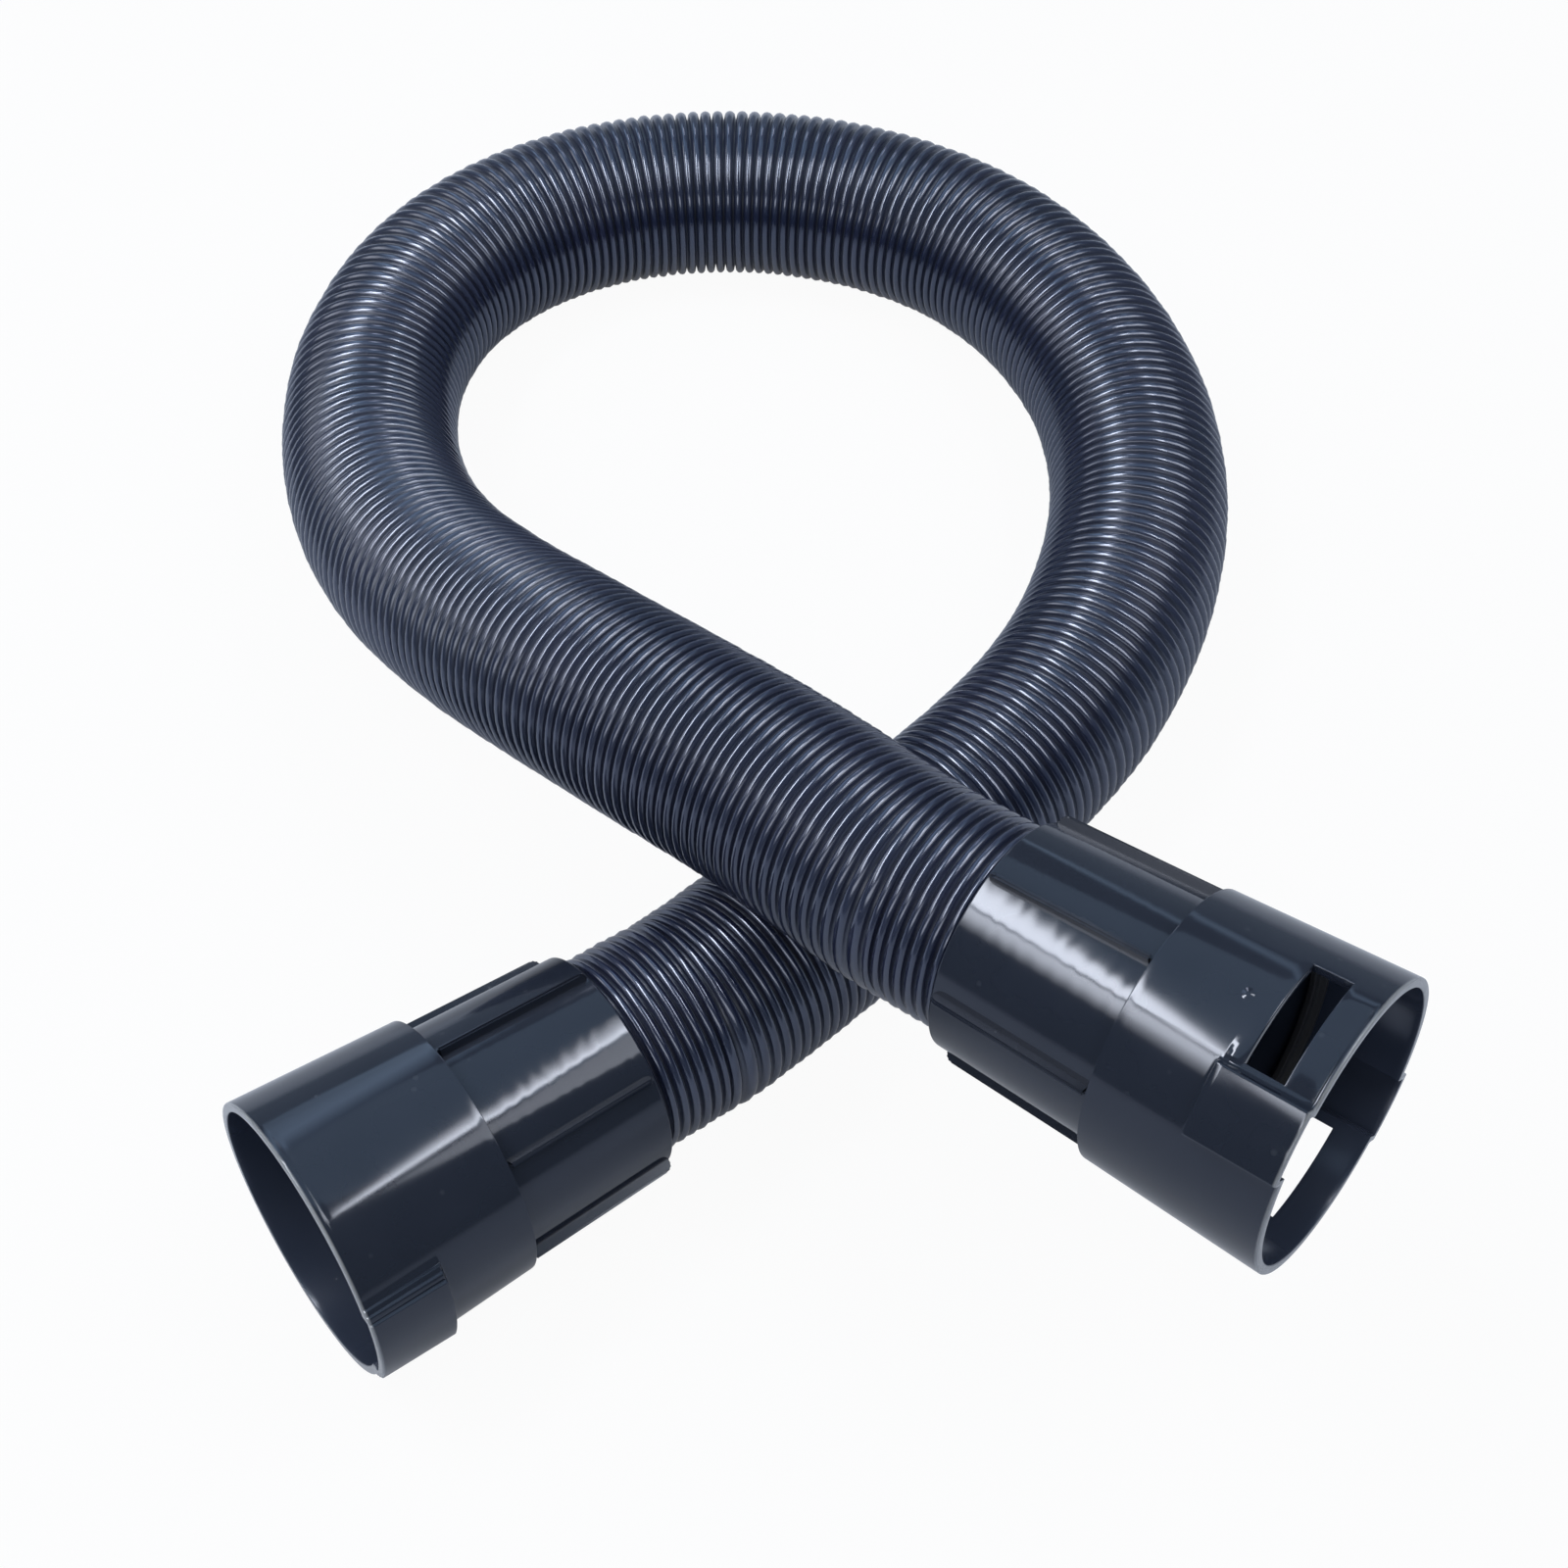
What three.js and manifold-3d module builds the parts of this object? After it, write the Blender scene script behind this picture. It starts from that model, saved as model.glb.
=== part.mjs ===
// Vacuum hose: a close-ribbed stretch hose laid in one loop, with a swivelling socket at each end.
// Millimetres, +Z up. The origin is on the floor, under the middle of the whole hose.
import * as THREE from 'three';
import { mergeVertices } from 'three/addons/utils/BufferGeometryUtils.js';
import Module from 'manifold-3d';

const wasm = await Module();
wasm.setup();

// ---- Driving dimensions -------------------------------------------------------------------------

const clearance = 0.3; // between pieces that touch on the real hose
const roundSides = 32; // sides of a moulded cuff
const ringSides = 28; // sides of a seal or washer

const hoseDiameter = 50; // over the rib crests
const ribDepth = 2.6;
const hoseWall = 2.4; // between the valleys and the bore
const ribCount = 200;
const hoseSides = 8;
const ribsPerBoreRing = 5;
const restingFlat = 0.5; // how deep the crests are flattened where they lie on the floor

const machineSleeveLength = 40; // the part that shows, from the bell to the hose
const wandSleeveLength = 39.2;
const sleeveWall = 1.7; // at the hose end
const sleeveTaper = 1.4; // how much wider, in radius, it is next to the bell
const sleeveFloor = 1.7; // between the bell and the stop inside
const threadRidges = 4; // turns that lie between the hose's ribs
const threadDepth = 2.1;
const threadFill = 0.45; // how much of the valley between two ribs a turn fills

const spigotLength = 14.3; // the part of the sleeve inside the bell
const spigotShoulder = 1.6; // the step from sleeve to spigot
const spigotWall = 2.7;
const stopMargin = 1; // the inner flange stands this far outside the hose's bore
const stopWidth = 2;

const ringWidth = 3; // retaining ring, measured along the radius
const ringThickness = 1.2;
const ringGap = 24; // degrees left open in the split ring
const ringInset = 2.5; // from the spigot's tip to its groove
const grooveDepth = 1.2;
const slipWasherThickness = 1;
const slipWasherWidth = 1.8;
const sealCord = 1.1; // O-ring section
const sealInset = 4.4; // from the bell's back to the middle of the O-ring
const sealGrooveWidth = 2.6;
const hoseWasherThickness = 1.5;

const machineBellLength = 43;
const wandBellLength = 41.5;
const bellWall = 2.3; // at the rim
const bellTaper = 2; // how much narrower, in radius, it is next to the sleeve
const rimChamfer = 0.5;
const socketDepth = 24; // how far a tube goes in before it meets the mouth seal's ledge
const socketTaper = 0.3; // the socket is this much narrower, in radius, at its bottom
const ledgeWidth = 1.6; // that the mouth seal rests on
const mouthSealOverhang = 2.6; // how far the seal reaches in past its ledge
const mouthSealThickness = 1.5;
const mouthSealLip = 1.5; // how far its outer edge stands up
const mouthSealLipWidth = 1;
const mouthSealLipFoot = 0.6; // slope at the bottom of the lip

const finCount = 6;
const finThickness = 1.2;
const finFrontHeight = 2.7; // next to the bell
const finEndHeight = 2.3; // at the hose end
const finEndInset = 2; // it stops this far short of the sleeve's end
const finFirstAngle = { machine: 11.6, wand: 13.5 }; // degrees from the top of the cuff

const windowWidth = 8.6; // along the cuff
const windowInset = 7.8; // from the rim
const windowFrom = -17; // degrees from the top of the cuff
const windowTo = 29.3;
const landDepth = 0.6; // the bar between window and rim is this much lower
const landFrom = -8;

const keyWall = 2.2;
const machineKeyHeight = 3; // how far the key boss stands out
const machineKeyLength = 21;
const machineKeyAngles = { from: 31, to: 60.5, side: 2.6 }; // side is the slope on each flank
const wandKeyHeight = 1.9;
const wandKeyLength = 19.4;
const wandKeyAngles = { from: -114, to: -64, side: 7 };
const wandKeySteps = 3; // ridges on its flanks

// Where each cuff lies: its mouth's centre on the floor plan, and the way it points, in degrees.
const machinePlace = { mouth: [118.7, -186.2], turn: -37.6, tilt: 4.2 };
const wandPlace = { mouth: [-100.7, -182.9], turn: -143.7, tilt: 2.7 };
const machineMouthHeight = 89.2;
const wandRimGap = 0.15; // between the wand cuff's rim and the floor

// ---- Sizes that follow from them ----------------------------------------------------------------

const crestRadius = hoseDiameter / 2;
const rootRadius = crestRadius - ribDepth;
const boreRadius = rootRadius - hoseWall;
const lyingHeight = crestRadius - restingFlat;

const sleeveBoreRadius = crestRadius + 2 * clearance;
const sleeveEndRadius = sleeveBoreRadius + sleeveWall;
const sleeveFrontRadius = sleeveEndRadius + sleeveTaper;
const spigotRadius = sleeveFrontRadius - spigotShoulder;
const spigotBoreRadius = spigotRadius - spigotWall;
const stopBoreRadius = boreRadius + stopMargin;
const bearingRadius = spigotRadius + clearance;
const sealGrooveRadius = spigotRadius - sealCord - clearance;
const grooveRadius = spigotRadius - grooveDepth;
const ringInnerRadius = grooveRadius + clearance;
const ringOuterRadius = ringInnerRadius + ringWidth;
const chamberRadius = Math.max(ringOuterRadius, bearingRadius + slipWasherWidth) + 2 * clearance;
const socketRadius = chamberRadius + ledgeWidth + socketTaper;
const bellRimRadius = socketRadius + bellWall;
const bellBackRadius = bellRimRadius - bellTaper;

// Distances back from the mouth, in one cuff.
function cuffPlan(bellLength, sleeveLength) {
  const plan = { bellLength, sleeveLength };
  plan.sleeveStart = bellLength + clearance;
  plan.sleeveEnd = plan.sleeveStart + sleeveLength;
  plan.spigotTip = plan.sleeveStart - spigotLength;
  plan.grooveStart = plan.spigotTip + ringInset;
  plan.ringStart = plan.grooveStart + clearance;
  plan.grooveEnd = plan.ringStart + ringThickness + clearance;
  plan.bellStep = plan.grooveEnd + slipWasherThickness + clearance;
  plan.sealMiddle = bellLength - sealInset;
  plan.stopFace = plan.sleeveStart + sleeveFloor + stopWidth;
  plan.hoseWasherStart = plan.stopFace + clearance;
  plan.hoseEnd = plan.hoseWasherStart + hoseWasherThickness + clearance;
  plan.covered = plan.sleeveEnd - plan.hoseEnd + clearance;
  return plan;
}

const machinePlan = cuffPlan(machineBellLength, machineSleeveLength);
const wandPlan = cuffPlan(wandBellLength, wandSleeveLength);

machinePlace.mouth.push(machineMouthHeight);
wandPlace.mouth.push(bellRimRadius * Math.cos((wandPlace.tilt * Math.PI) / 180) + wandRimGap);

// The hose's middle line between its two straight ends, from the machine cuff to the wand cuff.
const route = [
  [3, -92, 77.8], [-23, -70, 74.4], [-47.5, -47, 68], [-69.5, -22, 57.5], [-89.5, 7, 45.5],
  [-104.5, 40, 34.5], [-113, 75, 27.2], [-113, 109, lyingHeight], [-102.5, 140, lyingHeight],
  [-83.5, 163.5, lyingHeight], [-58.5, 179.5, lyingHeight], [-30.5, 187.5, lyingHeight],
  [3, 188, lyingHeight], [36.5, 179, lyingHeight], [65.5, 161, lyingHeight],
  [88, 133.5, lyingHeight], [103, 97, lyingHeight], [106.5, 56, lyingHeight],
  [98.5, 16, lyingHeight], [82, -19.5, lyingHeight], [57.5, -50.5, lyingHeight], [28, -79, 26],
];
const straightEndPoints = [0, 17, 34, 51, 59]; // distances from the hose's cut end

const degrees = Math.PI / 180;

function bellOuterRadius(plan, back) {
  return bellRimRadius + ((bellBackRadius - bellRimRadius) * back) / plan.bellLength;
}

function sleeveOuterRadius(plan, back) {
  return sleeveFrontRadius - (sleeveTaper * (back - plan.sleeveStart)) / plan.sleeveLength;
}

// ---- Solid modelling helpers --------------------------------------------------------------------

function toSolid(geometry) {
  const bare = geometry.clone();
  bare.deleteAttribute('normal');
  bare.deleteAttribute('uv');
  const merged = mergeVertices(bare);
  const vertProperties = new Float32Array(merged.attributes.position.array);
  const triVerts = new Uint32Array(merged.index.array);
  return new wasm.Manifold(new wasm.Mesh({ numProp: 3, vertProperties, triVerts }));
}

function toGeometry(solid) {
  const mesh = solid.getMesh();
  const geometry = new THREE.BufferGeometry();
  const position = new THREE.BufferAttribute(new Float32Array(mesh.vertProperties), 3);
  geometry.setAttribute('position', position);
  geometry.setIndex(new THREE.BufferAttribute(new Uint32Array(mesh.triVerts), 1));
  geometry.computeVertexNormals();
  return geometry;
}

// A cuff's own axes: Z runs out of its mouth, X is its top, and the mouth's centre is the origin.
// Profiles are lists of [radius, distance back from the mouth], in order round the section.
function revolve(profile, sides) {
  const points = profile.map(([radius, back]) => new THREE.Vector2(radius, -back));
  points.push(points[0].clone());
  const geometry = new THREE.LatheGeometry(points, sides);
  geometry.rotateX(Math.PI / 2);
  geometry.rotateZ(Math.PI / sides);
  return geometry;
}

// A block of a ring: between two radii, two angles in degrees and two distances back.
function ringBlock(inner, outer, from, to, front, back) {
  const steps = Math.max(2, Math.round((to - from) / 8));
  const shape = new THREE.Shape();
  for (let i = 0; i <= steps; i += 1) {
    const angle = (from + ((to - from) * i) / steps) * degrees;
    const place = [outer * Math.cos(angle), outer * Math.sin(angle)];
    if (i === 0) shape.moveTo(...place);
    else shape.lineTo(...place);
  }
  for (let i = steps; i >= 0; i -= 1) {
    const angle = (from + ((to - from) * i) / steps) * degrees;
    shape.lineTo(inner * Math.cos(angle), inner * Math.sin(angle));
  }
  shape.closePath();
  const geometry = new THREE.ExtrudeGeometry(shape, { depth: back - front, bevelEnabled: false });
  geometry.translate(0, 0, -back);
  return geometry;
}

function fuse(solids) {
  return solids.reduce((sum, solid) => sum.add(solid));
}

// ---- Cuff pieces --------------------------------------------------------------------------------

function bellBody(plan) {
  return toSolid(revolve([
    [bellRimRadius - rimChamfer, 0],
    [socketRadius, 0],
    [socketRadius - socketTaper, socketDepth],
    [chamberRadius, socketDepth],
    [chamberRadius, plan.bellStep],
    [bearingRadius, plan.bellStep],
    [bearingRadius, plan.bellLength],
    [bellBackRadius - rimChamfer, plan.bellLength],
    [bellBackRadius, plan.bellLength - rimChamfer],
    [bellRimRadius, rimChamfer],
  ], roundSides));
}

// A key boss is a raised block on the bell with an open channel under it, where a lug slides in.
function keyBlock(angles, height, length, steps) {
  const sideStep = angles.side / steps;
  const blocks = [];
  for (let i = 1; i <= steps; i += 1) {
    const outer = bellBackRadius + (bellRimRadius - bellBackRadius + height) * (i / steps);
    const from = angles.from + sideStep * (i - 1);
    const to = angles.to - sideStep * (i - 1);
    blocks.push(toSolid(ringBlock(socketRadius + bellWall / 2, outer, from, to, 0, length)));
  }
  return fuse(blocks);
}

function keyChannel(angles, height, length) {
  const outer = bellRimRadius + height - keyWall;
  const from = angles.from + angles.side;
  const to = angles.to - angles.side;
  return toSolid(ringBlock(chamberRadius, outer, from, to, -1, length - keyWall));
}

function turned(angles, by) {
  return { ...angles, from: angles.from + by, to: angles.to + by };
}

function machineBell(plan) {
  let body = bellBody(plan);
  const outside = bellRimRadius + machineKeyHeight;
  for (const by of [0, 180]) {
    const key = turned(machineKeyAngles, by);
    body = body.add(keyBlock(key, machineKeyHeight, machineKeyLength, 1));
    body = body.subtract(keyChannel(key, machineKeyHeight, machineKeyLength));
    const window = ringBlock(chamberRadius, outside, windowFrom + by, windowTo + by,
      windowInset, windowInset + windowWidth);
    body = body.subtract(toSolid(window));
    const land = ringBlock(bellOuterRadius(plan, windowInset) - landDepth, outside, landFrom + by,
      windowTo + by, 2 * rimChamfer, windowInset + rimChamfer);
    body = body.subtract(toSolid(land));
  }
  return toGeometry(body);
}

function wandBell(plan) {
  const body = bellBody(plan)
    .add(keyBlock(wandKeyAngles, wandKeyHeight, wandKeyLength, wandKeySteps))
    .subtract(keyChannel(wandKeyAngles, wandKeyHeight, wandKeyLength));
  return toGeometry(body);
}

// The thread lies in the valleys between the hose's ribs.
function sleeveBody(plan, ribPitch) {
  const sealFront = plan.sealMiddle - sealGrooveWidth / 2;
  const sealBack = plan.sealMiddle + sealGrooveWidth / 2;
  const profile = [
    [spigotBoreRadius, plan.spigotTip],
    [spigotBoreRadius, plan.stopFace - stopWidth],
    [stopBoreRadius, plan.stopFace - stopWidth],
    [stopBoreRadius, plan.stopFace],
    [sleeveBoreRadius, plan.stopFace],
  ];
  const ribsInside = Math.floor((plan.sleeveEnd - plan.hoseEnd) / ribPitch);
  for (let i = ribsInside - threadRidges; i < ribsInside; i += 1) {
    const middle = plan.hoseEnd + i * ribPitch;
    profile.push([sleeveBoreRadius, middle - (threadFill * ribPitch) / 2]);
    profile.push([sleeveBoreRadius - threadDepth, middle]);
    profile.push([sleeveBoreRadius, middle + (threadFill * ribPitch) / 2]);
  }
  profile.push(
    [sleeveBoreRadius, plan.sleeveEnd],
    [sleeveEndRadius, plan.sleeveEnd],
    [sleeveFrontRadius, plan.sleeveStart],
    [spigotRadius, plan.sleeveStart],
    [spigotRadius, sealBack],
    [sealGrooveRadius, sealBack],
    [sealGrooveRadius, sealFront],
    [spigotRadius, sealFront],
    [spigotRadius, plan.grooveEnd],
    [grooveRadius, plan.grooveEnd],
    [grooveRadius, plan.grooveStart],
    [spigotRadius, plan.grooveStart],
    [spigotRadius, plan.spigotTip + rimChamfer],
    [spigotRadius - rimChamfer, plan.spigotTip],
  );
  return toSolid(revolve(profile, ringSides));
}

function fin(plan, angle) {
  const front = plan.sleeveStart + clearance;
  const end = plan.sleeveEnd - finEndInset;
  const foot = sleeveBoreRadius + sleeveWall / 2;
  const shape = new THREE.Shape();
  shape.moveTo(foot, front);
  shape.lineTo(sleeveOuterRadius(plan, front) + finFrontHeight, front);
  shape.lineTo(sleeveOuterRadius(plan, end) + finEndHeight, end);
  shape.lineTo(foot, end);
  shape.closePath();
  const geometry = new THREE.ExtrudeGeometry(shape, { depth: finThickness, bevelEnabled: false });
  geometry.translate(0, 0, -finThickness / 2);
  geometry.rotateX(-Math.PI / 2);
  geometry.rotateZ(angle * degrees);
  return toSolid(geometry);
}

function sleeve(plan, ribPitch, firstAngle) {
  let body = sleeveBody(plan, ribPitch);
  for (let i = 0; i < finCount; i += 1) {
    body = body.add(fin(plan, firstAngle + (i * 360) / finCount));
  }
  return toGeometry(body);
}

function flatRing(inner, outer, front, thickness) {
  const back = front + thickness;
  return revolve([[outer, front], [inner, front], [inner, back], [outer, back]], ringSides);
}

function swivelSeal(plan) {
  const middle = sealGrooveRadius + clearance + sealCord / 2;
  const geometry = new THREE.TorusGeometry(middle, sealCord / 2, 6, ringSides);
  geometry.translate(0, 0, -plan.sealMiddle);
  return geometry;
}

function retainingRing(plan) {
  const from = ringGap / 2;
  return ringBlock(ringInnerRadius, ringOuterRadius, from, 360 - from, plan.ringStart,
    plan.ringStart + ringThickness);
}

function mouthSeal() {
  const inner = chamberRadius - mouthSealOverhang;
  const outer = socketRadius - socketTaper - clearance;
  const lipFoot = outer - mouthSealLipWidth - mouthSealLipFoot;
  const seat = socketDepth - clearance;
  const top = seat - mouthSealThickness;
  return revolve([
    [inner, top],
    [inner, seat],
    [outer, seat],
    [outer, top - mouthSealLip],
    [lipFoot + mouthSealLipFoot, top - mouthSealLip],
    [lipFoot, top],
  ], ringSides);
}

// ---- Hose ---------------------------------------------------------------------------------------

function cuffGroup(place) {
  const turn = place.turn * degrees;
  const tilt = place.tilt * degrees;
  const out = new THREE.Vector3(
    Math.cos(tilt) * Math.cos(turn), Math.cos(tilt) * Math.sin(turn), Math.sin(tilt));
  const across = new THREE.Vector3().crossVectors(out, new THREE.Vector3(0, 0, 1)).normalize();
  const top = new THREE.Vector3().crossVectors(across, out);
  const group = new THREE.Group();
  group.matrix.makeBasis(top, across, out).setPosition(...place.mouth);
  group.matrix.decompose(group.position, group.quaternion, group.scale);
  group.updateMatrixWorld(true);
  return group;
}

function hoseCurve(machine, wand) {
  const endPoints = (group, plan) => straightEndPoints.map(
    (distance) => group.localToWorld(new THREE.Vector3(0, 0, -plan.hoseEnd - distance)));
  const free = route.map((point) => new THREE.Vector3(...point));
  const points = [
    ...endPoints(machine, machinePlan), ...free, ...endPoints(wand, wandPlan).reverse(),
  ];
  const curve = new THREE.CatmullRomCurve3(points, false, 'centripetal');
  curve.arcLengthDivisions = 4000;
  return curve;
}

// One ring of points square to the hose, with a flat side down.
function ringPoints(curve, share, radius) {
  const centre = curve.getPointAt(share);
  const along = curve.getTangentAt(share);
  const side = new THREE.Vector3().crossVectors(along, new THREE.Vector3(0, 0, 1)).normalize();
  const up = new THREE.Vector3().crossVectors(side, along);
  const points = [];
  for (let k = 0; k < hoseSides; k += 1) {
    const angle = ((k + 0.5) * 2 * Math.PI) / hoseSides;
    points.push(centre.clone()
      .addScaledVector(side, radius * Math.cos(angle))
      .addScaledVector(up, radius * Math.sin(angle)));
  }
  return points;
}

function joinRings(indices, first, second, flip) {
  for (let k = 0; k < hoseSides; k += 1) {
    const next = (k + 1) % hoseSides;
    const quad = [first + k, second + k, second + next, first + next];
    if (flip) quad.reverse();
    indices.push(quad[0], quad[1], quad[2], quad[0], quad[2], quad[3]);
  }
}

// In the free stretch a ring's flat sides touch the real round hose; in the sleeves its corners do.
function ribbedHose(curve, length) {
  const flatToCorner = 1 / Math.cos(Math.PI / hoseSides);
  const corner = (distance) => (
    distance < machinePlan.covered || distance > length - wandPlan.covered ? 1 : flatToCorner);
  const vertices = [];
  const indices = [];
  const addRing = (share, radius) => {
    const start = vertices.length;
    vertices.push(...ringPoints(curve, share, radius * corner(share * length)));
    return start;
  };
  const outer = [];
  for (let i = 0; i <= 2 * ribCount; i += 1) {
    outer.push(addRing(i / (2 * ribCount), i % 2 === 0 ? rootRadius : crestRadius));
  }
  const inner = [];
  for (let i = 0; i < ribCount; i += ribsPerBoreRing) {
    inner.push(addRing(i / ribCount, boreRadius));
  }
  inner.push(addRing(1, boreRadius));
  outer.slice(1).forEach((ring, i) => joinRings(indices, outer[i], ring, false));
  inner.slice(1).forEach((ring, i) => joinRings(indices, inner[i], ring, true));
  joinRings(indices, inner[0], outer[0], false);
  joinRings(indices, outer.at(-1), inner.at(-1), false);
  const geometry = new THREE.BufferGeometry();
  const position = new Float32Array(vertices.flatMap((point) => point.toArray()));
  geometry.setAttribute('position', new THREE.BufferAttribute(position, 3));
  geometry.setIndex(indices);
  return geometry;
}

// The crests that lie on the floor are flattened, so that the hose stands on faces.
function flattenUnderside(geometry) {
  const size = 2000;
  const ground = new THREE.BoxGeometry(size, size, size);
  ground.translate(0, 0, -size / 2);
  return toGeometry(toSolid(geometry).subtract(toSolid(ground)));
}

function leastGapBetweenStrands(curve, length) {
  const steps = 2 * ribCount;
  const rings = [];
  for (let i = 0; i <= steps; i += 1) rings.push(curve.getPointAt(i / steps));
  let least = Infinity;
  for (let i = 0; i <= steps; i += 1) {
    for (let j = i + 1; j <= steps; j += 1) {
      if (((j - i) * length) / steps > 3 * hoseDiameter) {
        least = Math.min(least, rings[i].distanceTo(rings[j]));
      }
    }
  }
  return least - hoseDiameter;
}

// ---- Materials ----------------------------------------------------------------------------------

const finish = {
  hose: { color: 0x15161d, roughness: 0.38, metalness: 0 },
  cuff: { color: 0x14161d, roughness: 0.16, metalness: 0 },
  rubber: { color: 0x101012, roughness: 0.75, metalness: 0 },
  slip: { color: 0xd9d6cc, roughness: 0.45, metalness: 0 },
  spring: { color: 0x8d9094, roughness: 0.35, metalness: 1 },
};

function piece(name, geometry, look) {
  const mesh = new THREE.Mesh(geometry, new THREE.MeshStandardMaterial(finish[look]));
  mesh.name = name;
  return mesh;
}

// ---- Assembly -----------------------------------------------------------------------------------

const machineCuff = cuffGroup(machinePlace);
const wandCuff = cuffGroup(wandPlace);
const middleLine = hoseCurve(machineCuff, wandCuff);
const hoseLength = middleLine.getLength();
const ribPitch = hoseLength / ribCount;

function fillCuff(group, name, plan, bellGeometry) {
  group.add(
    piece(`${name}_bell`, bellGeometry, 'cuff'),
    piece(`${name}_sleeve`, sleeve(plan, ribPitch, finFirstAngle[name]), 'cuff'),
    piece(`${name}_mouth_seal`, mouthSeal(), 'rubber'),
    piece(`${name}_retaining_ring`, retainingRing(plan), 'spring'),
    piece(`${name}_slip_washer`, flatRing(bearingRadius, bearingRadius + slipWasherWidth,
      plan.grooveEnd, slipWasherThickness), 'slip'),
    piece(`${name}_swivel_seal`, swivelSeal(plan), 'rubber'),
    piece(`${name}_hose_washer`, flatRing(stopBoreRadius, sleeveBoreRadius - clearance,
      plan.hoseWasherStart, hoseWasherThickness), 'rubber'),
  );
}

fillCuff(machineCuff, 'machine', machinePlan, machineBell(machinePlan));
fillCuff(wandCuff, 'wand', wandPlan, wandBell(wandPlan));

const hose = piece('hose_wall', flattenUnderside(ribbedHose(middleLine, hoseLength)), 'hose');
console.log(`hose length ${hoseLength.toFixed(1)} mm, rib pitch ${ribPitch.toFixed(2)} mm`);
console.log(`gap where it crosses itself ${leastGapBetweenStrands(middleLine, hoseLength).toFixed(2)} mm`);

const vacuumHose = new THREE.Group();
vacuumHose.add(hose, machineCuff, wandCuff);

export default vacuumHose;
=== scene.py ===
"""Looks of the vacuum hose: a ribbed stretch hose in a loop, with a swivelling cuff at each end."""

import math

import bmesh
import bpy
from mathutils import Matrix, Vector

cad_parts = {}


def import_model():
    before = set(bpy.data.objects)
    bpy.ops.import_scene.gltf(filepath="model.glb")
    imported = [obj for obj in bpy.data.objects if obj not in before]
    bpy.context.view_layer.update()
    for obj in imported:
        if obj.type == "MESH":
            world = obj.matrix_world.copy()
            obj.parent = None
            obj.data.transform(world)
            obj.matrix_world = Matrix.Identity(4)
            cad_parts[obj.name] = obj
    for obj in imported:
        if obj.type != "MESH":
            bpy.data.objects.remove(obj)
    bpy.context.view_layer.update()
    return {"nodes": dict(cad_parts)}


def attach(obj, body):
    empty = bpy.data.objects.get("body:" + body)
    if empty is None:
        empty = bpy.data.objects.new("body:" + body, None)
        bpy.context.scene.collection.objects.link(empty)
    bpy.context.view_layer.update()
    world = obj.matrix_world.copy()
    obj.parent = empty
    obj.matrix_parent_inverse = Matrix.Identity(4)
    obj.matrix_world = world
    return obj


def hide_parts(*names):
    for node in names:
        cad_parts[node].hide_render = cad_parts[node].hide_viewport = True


MM = 0.001

# ---- Sizes, in millimetres, the same as the part's but for the ribs and the fins ----

GAP = 0.3  # between pieces that touch on the real hose

CREST_RADIUS = 25
RIB_HEIGHT = 2.8
BORE_RADIUS = 20
RIB_COUNT = 287
RIB_STEPS = 6
HOSE_SIDES = 46
LOWEST = 0.02  # the crests that lie on the floor are pressed flat at this height

BELL_RIM_RADIUS = 34
BELL_BACK_RADIUS = 32
SOCKET_RADIUS = 31.7
SOCKET_BOTTOM_RADIUS = 31.4
SOCKET_DEPTH = 24
CHAMBER_RADIUS = 29.8
BEARING_RADIUS = 27.4
SPIGOT_RADIUS = 27.1
SPIGOT_BORE_RADIUS = 24.4
SPIGOT_LENGTH = 14.3
STOP_BORE_RADIUS = 21
STOP_WIDTH = 2
STOP_INSET = 3.7  # from the sleeve's front to the stop's face
SLEEVE_BORE_RADIUS = 25.6
SLEEVE_END_RADIUS = 27.3
SLEEVE_FRONT_RADIUS = 28.7

RING_INSET = 2.5  # from the spigot's tip to the retaining ring's groove
RING_GROOVE_WIDTH = 1.8
RING_GROOVE_DEPTH = 1.2
SEAL_INSET = 4.4  # from the bell's back to the middle of the O-ring
SEAL_CORD = 1.1
SEAL_GROOVE_WIDTH = 2.6
SLIP_WASHER_WIDTH = 1.8
SLIP_WASHER_THICKNESS = 1
HOSE_WASHER_THICKNESS = 1.5
MOUTH_SEAL_OVERHANG = 2.6  # past its ledge
MOUTH_SEAL_THICKNESS = 1.5
MOUTH_SEAL_LIP = 1.5  # how far its outer edge stands up
MOUTH_SEAL_LIP_WIDTH = 1
MOUTH_SEAL_LIP_FOOT = 0.6

FIN_COUNT = 6
FIN_THICKNESS = 1.2
FIN_FOOT_RADIUS = SLEEVE_BORE_RADIUS + 0.8
FIN_FRONT_RADIUS = 31.2
FIN_END_RADIUS = 29.8
FIN_END_INSET = 0.5
FIN_EDGE_ROUND = 0.45

RIM_ROUND = 0.4
RIM_INNER_ROUND = 0.2
WINDOW_ROUND = 0.3
EDGE_STEPS = (0, 0.08, 0.3, 0.6, 1)  # grid lines across a rounded edge, as shares of its width
ANGLE_STEP = 3
BACK_STEP = 1.6  # of a bell's even grid lines, as is ANGLE_STEP
SHARP_ANGLE = math.radians(38)
UNROLLED_RADIUS = 30  # at which the cuffs' UV maps are laid flat

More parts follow.
